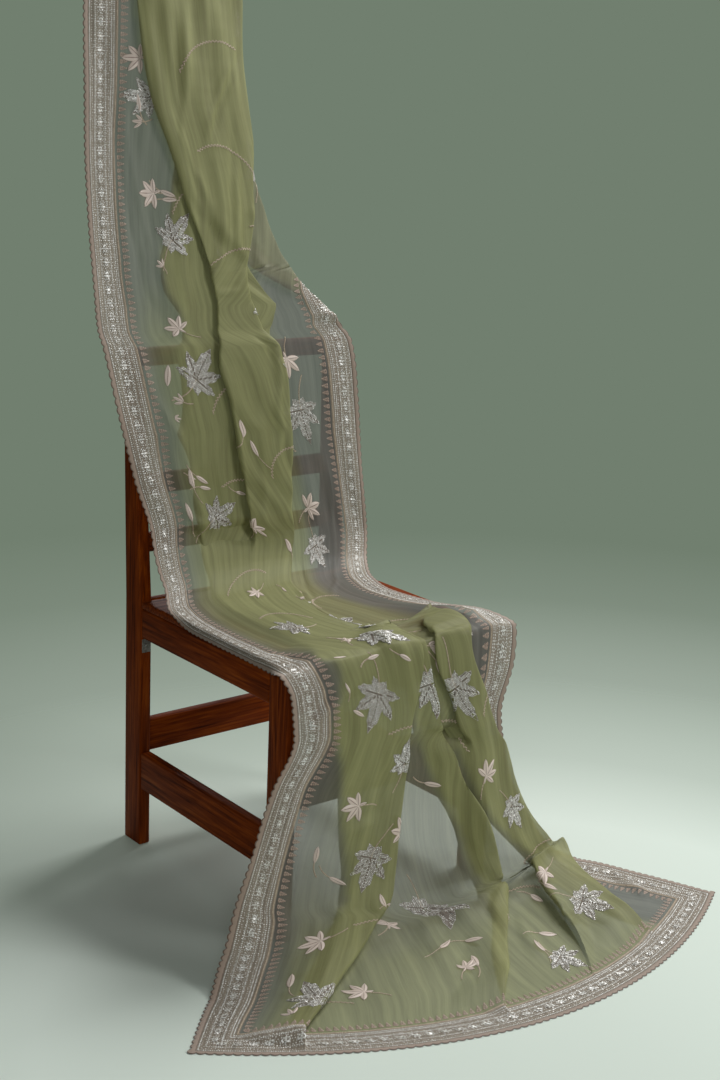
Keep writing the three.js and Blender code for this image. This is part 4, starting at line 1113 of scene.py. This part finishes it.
def timberPost(node, material):  # upright below the seat, leaning back above it and thinner at the top
    low, high = (Vector(corner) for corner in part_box(node))
    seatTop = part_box("seat_board")[1][2]
    legDeep, topDeep, lean = 0.0506, 0.030, 0.0344 * (high.z - seatTop) / 0.422
    back = low.y + legDeep
    bpy.ops.mesh.primitive_cube_add(size=1, location=((low.x + high.x) / 2, (low.y + back) / 2, seatTop / 2))
    piece = bpy.context.object
    piece.scale = (high.x - low.x, legDeep, seatTop)
    bpy.ops.object.transform_apply(location=True, rotation=True, scale=True)
    bpy.ops.object.mode_set(mode="EDIT")
    bpy.ops.mesh.select_all(action="DESELECT")
    mesh = bmesh.from_edit_mesh(piece.data)
    mesh.faces.ensure_lookup_table()
    for face in mesh.faces:
        face.select_set(face.normal.z > 0.9)
    bmesh.update_edit_mesh(piece.data)
    bpy.ops.mesh.extrude_region_move(TRANSFORM_OT_translate={"value": (0, lean, high.z - seatTop)})
    mesh = bmesh.from_edit_mesh(piece.data)
    top = [v for v in mesh.verts if v.co.z > high.z - 0.001]
    front = min(v.co.y for v in top)
    for v in top:
        if v.co.y > front + 0.001:
            v.co.y = front + topDeep
    bmesh.update_edit_mesh(piece.data)
    bpy.ops.object.mode_set(mode="OBJECT")
    finishTimber(piece, node, material, timber["endRound"])


def makeChair():
    upright, sideways, deep = (teakMaterial(f"polished teak {word}", axis)
                               for word, axis in (("upright", 2), ("across", 0), ("front to back", 1)))
    for side in ("left", "right"):
        timberBar(f"leg_front_{side}", upright)
        timberPost(f"post_back_{side}", upright)
        timberBar(f"seat_rail_{side}", deep)
        timberBar(f"stretcher_{side}", deep)
    for node in ("seat_rail_front", "seat_rail_back", "stretcher_front", "stretcher_back", "back_rail_lower",
                 "back_rail_middle"):
        timberBar(node, sideways)
    timberBar("top_rail", sideways, 0.006)
    timberBar("seat_board", sideways, 0.005)
    print("chair made")


def zincMaterial():  # zinc plated steel, dull and a little blue
    material, shader = newMaterial("zinc plated steel")
    place = addNode(material, "ShaderNodeTexCoord")
    spangle = addNode(material, "ShaderNodeTexNoise", inputs={"Scale": 260}, links={"Vector": (place, "Object")})
    ramp = colourRamp(material, spangle, "Fac", [(0.35, "#8b8d8e"), (0.65, "#b9babb")])
    material.node_tree.links.new(ramp.outputs["Color"], shader.inputs["Base Color"])
    shader.inputs["Metallic"].default_value = 1
    shader.inputs["Roughness"].default_value = 0.38
    return material


def makeBrackets():
    zinc = zincMaterial()
    for side in ("left", "right"):
        node = f"bracket_{side}"
        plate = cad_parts[node]
        plate.data.materials.clear()
        plate.data.materials.append(zinc)
        low, high = (Vector(corner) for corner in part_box(node))
        middle = (low + high) / 2
        bpy.ops.mesh.primitive_cylinder_add(vertices=20, radius=0.0034, depth=0.0016, rotation=(math.pi / 2, 0, 0),
                                            location=(middle.x, low.y - 0.0006, middle.z))
        screw = bpy.context.object
        bpy.ops.object.transform_apply(location=True, rotation=True, scale=True)
        bevel = screw.modifiers.new("head", "BEVEL")
        bevel.width, bevel.segments, bevel.limit_method = 0.0006, 2, "ANGLE"
        bpy.ops.object.modifier_apply(modifier=bevel.name)
        screw.name = screw.data.name = f"bracketScrew_{side}"
        screw.data.materials.append(zinc)
        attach(screw, "root")
        screw.select_set(False)


studio = {
    "floor": "#dbe6dc", "wall": "#717f6f", "radius": 3.2, "centre": (-0.05, -0.5),
    "fade": [(0.22, 1.0), (0.32, 0.6), (0.48, 0.28), (0.68, 0.08), (0.9, 0.0)],
    "world": "#c9d2ca", "worldStrength": 0.15,
}


def makeStudio():
    # a round paper floor that fades into the even colour all round it, the same from any side
    material, shader = newMaterial("matt paper")
    place = addNode(material, "ShaderNodeTexCoord")
    centre = Vector((*studio["centre"], 0))
    fromCentre = addNode(material, "ShaderNodeVectorMath", {"operation": "DISTANCE"}, inputs={1: centre},
                         links={0: (place, "Object")})
    share = addNode(material, "ShaderNodeMapRange", inputs={"From Min": 0.0, "From Max": studio["radius"]},
                    links={"Value": (fromCentre, "Value")})
    fade = colourRamp(material, share, 0, studio["fade"])
    material.node_tree.links.new(fade.outputs["Color"], shader.inputs["Alpha"])
    shader.inputs["Base Color"].default_value = hexColour(studio["floor"])
    shader.inputs["Roughness"].default_value = 0.9
    shader.inputs["Specular IOR Level"].default_value = 0.1
    points, faces = [centre], []
    sides, rings = 64, 8
    for ring in range(1, rings + 1):
        for k in range(sides):
            a, r = 2 * math.pi * k / sides, studio["radius"] * ring / rings
            points.append(centre + Vector((r * math.cos(a), r * math.sin(a), 0)))
    for k in range(sides):
        after = (k + 1) % sides
        faces.append((0, 1 + k, 1 + after))
        for ring in range(rings - 1):
            i, j = 1 + ring * sides + k, 1 + ring * sides + after
            faces.append((i, i + sides, j + sides, j))
    paper = meshPiece("studioFloor", points, faces, material)

    world = bpy.data.worlds.new("studio")
    world.use_nodes = True
    nodes, links = world.node_tree.nodes, world.node_tree.links
    background = nodes["Background"]
    background.inputs["Color"].default_value = hexColour(studio["world"])
    background.inputs["Strength"].default_value = studio["worldStrength"]
    backdrop, seen, mix = (nodes.new(f"ShaderNode{kind}") for kind in ("Background", "LightPath", "MixShader"))
    backdrop.inputs["Color"].default_value = hexColour(studio["wall"])
    links.new(seen.outputs["Is Camera Ray"], mix.inputs[0])
    links.new(background.outputs[0], mix.inputs[1])
    links.new(backdrop.outputs[0], mix.inputs[2])
    links.new(mix.outputs[0], nodes["World Output"].inputs["Surface"])
    bpy.context.scene.world = world

    lamps = [
        # name, place, aimed at, size, watts
        ("keyLight", (2.1, 0.45, 3.4), (0, -0.1, 0.4), 1.7, 112),
        ("frontRightLight", (2.6, -3.6, 2.3), (0, 0, 1.4), 1.5, 88),
        ("frontLeftLight", (-2.6, -3.2, 2.4), (0, 0, 1.5), 1.6, 28),
        ("backLight", (1.2, 3.6, 1.2), (0, 0.3, 1.2), 1.8, 20),
    ]
    for name, place, target, size, watts in lamps:
        data = bpy.data.lights.new(name, "AREA")
        data.size, data.energy = size, watts
        lamp = bpy.data.objects.new(name, data)
        lamp.location = place
        lamp.rotation_euler = (Vector(target) - Vector(place)).to_track_quat("-Z", "Y").to_euler()
        bpy.context.collection.objects.link(lamp)
    bpy.context.scene.view_settings.view_transform = "Standard"
    print("studio set")


makeCamera()
body, left, right, end = makeCloth()
onBody, onBorder = makeEmbroidery()
makeChair()
makeBrackets()
makeStudio()
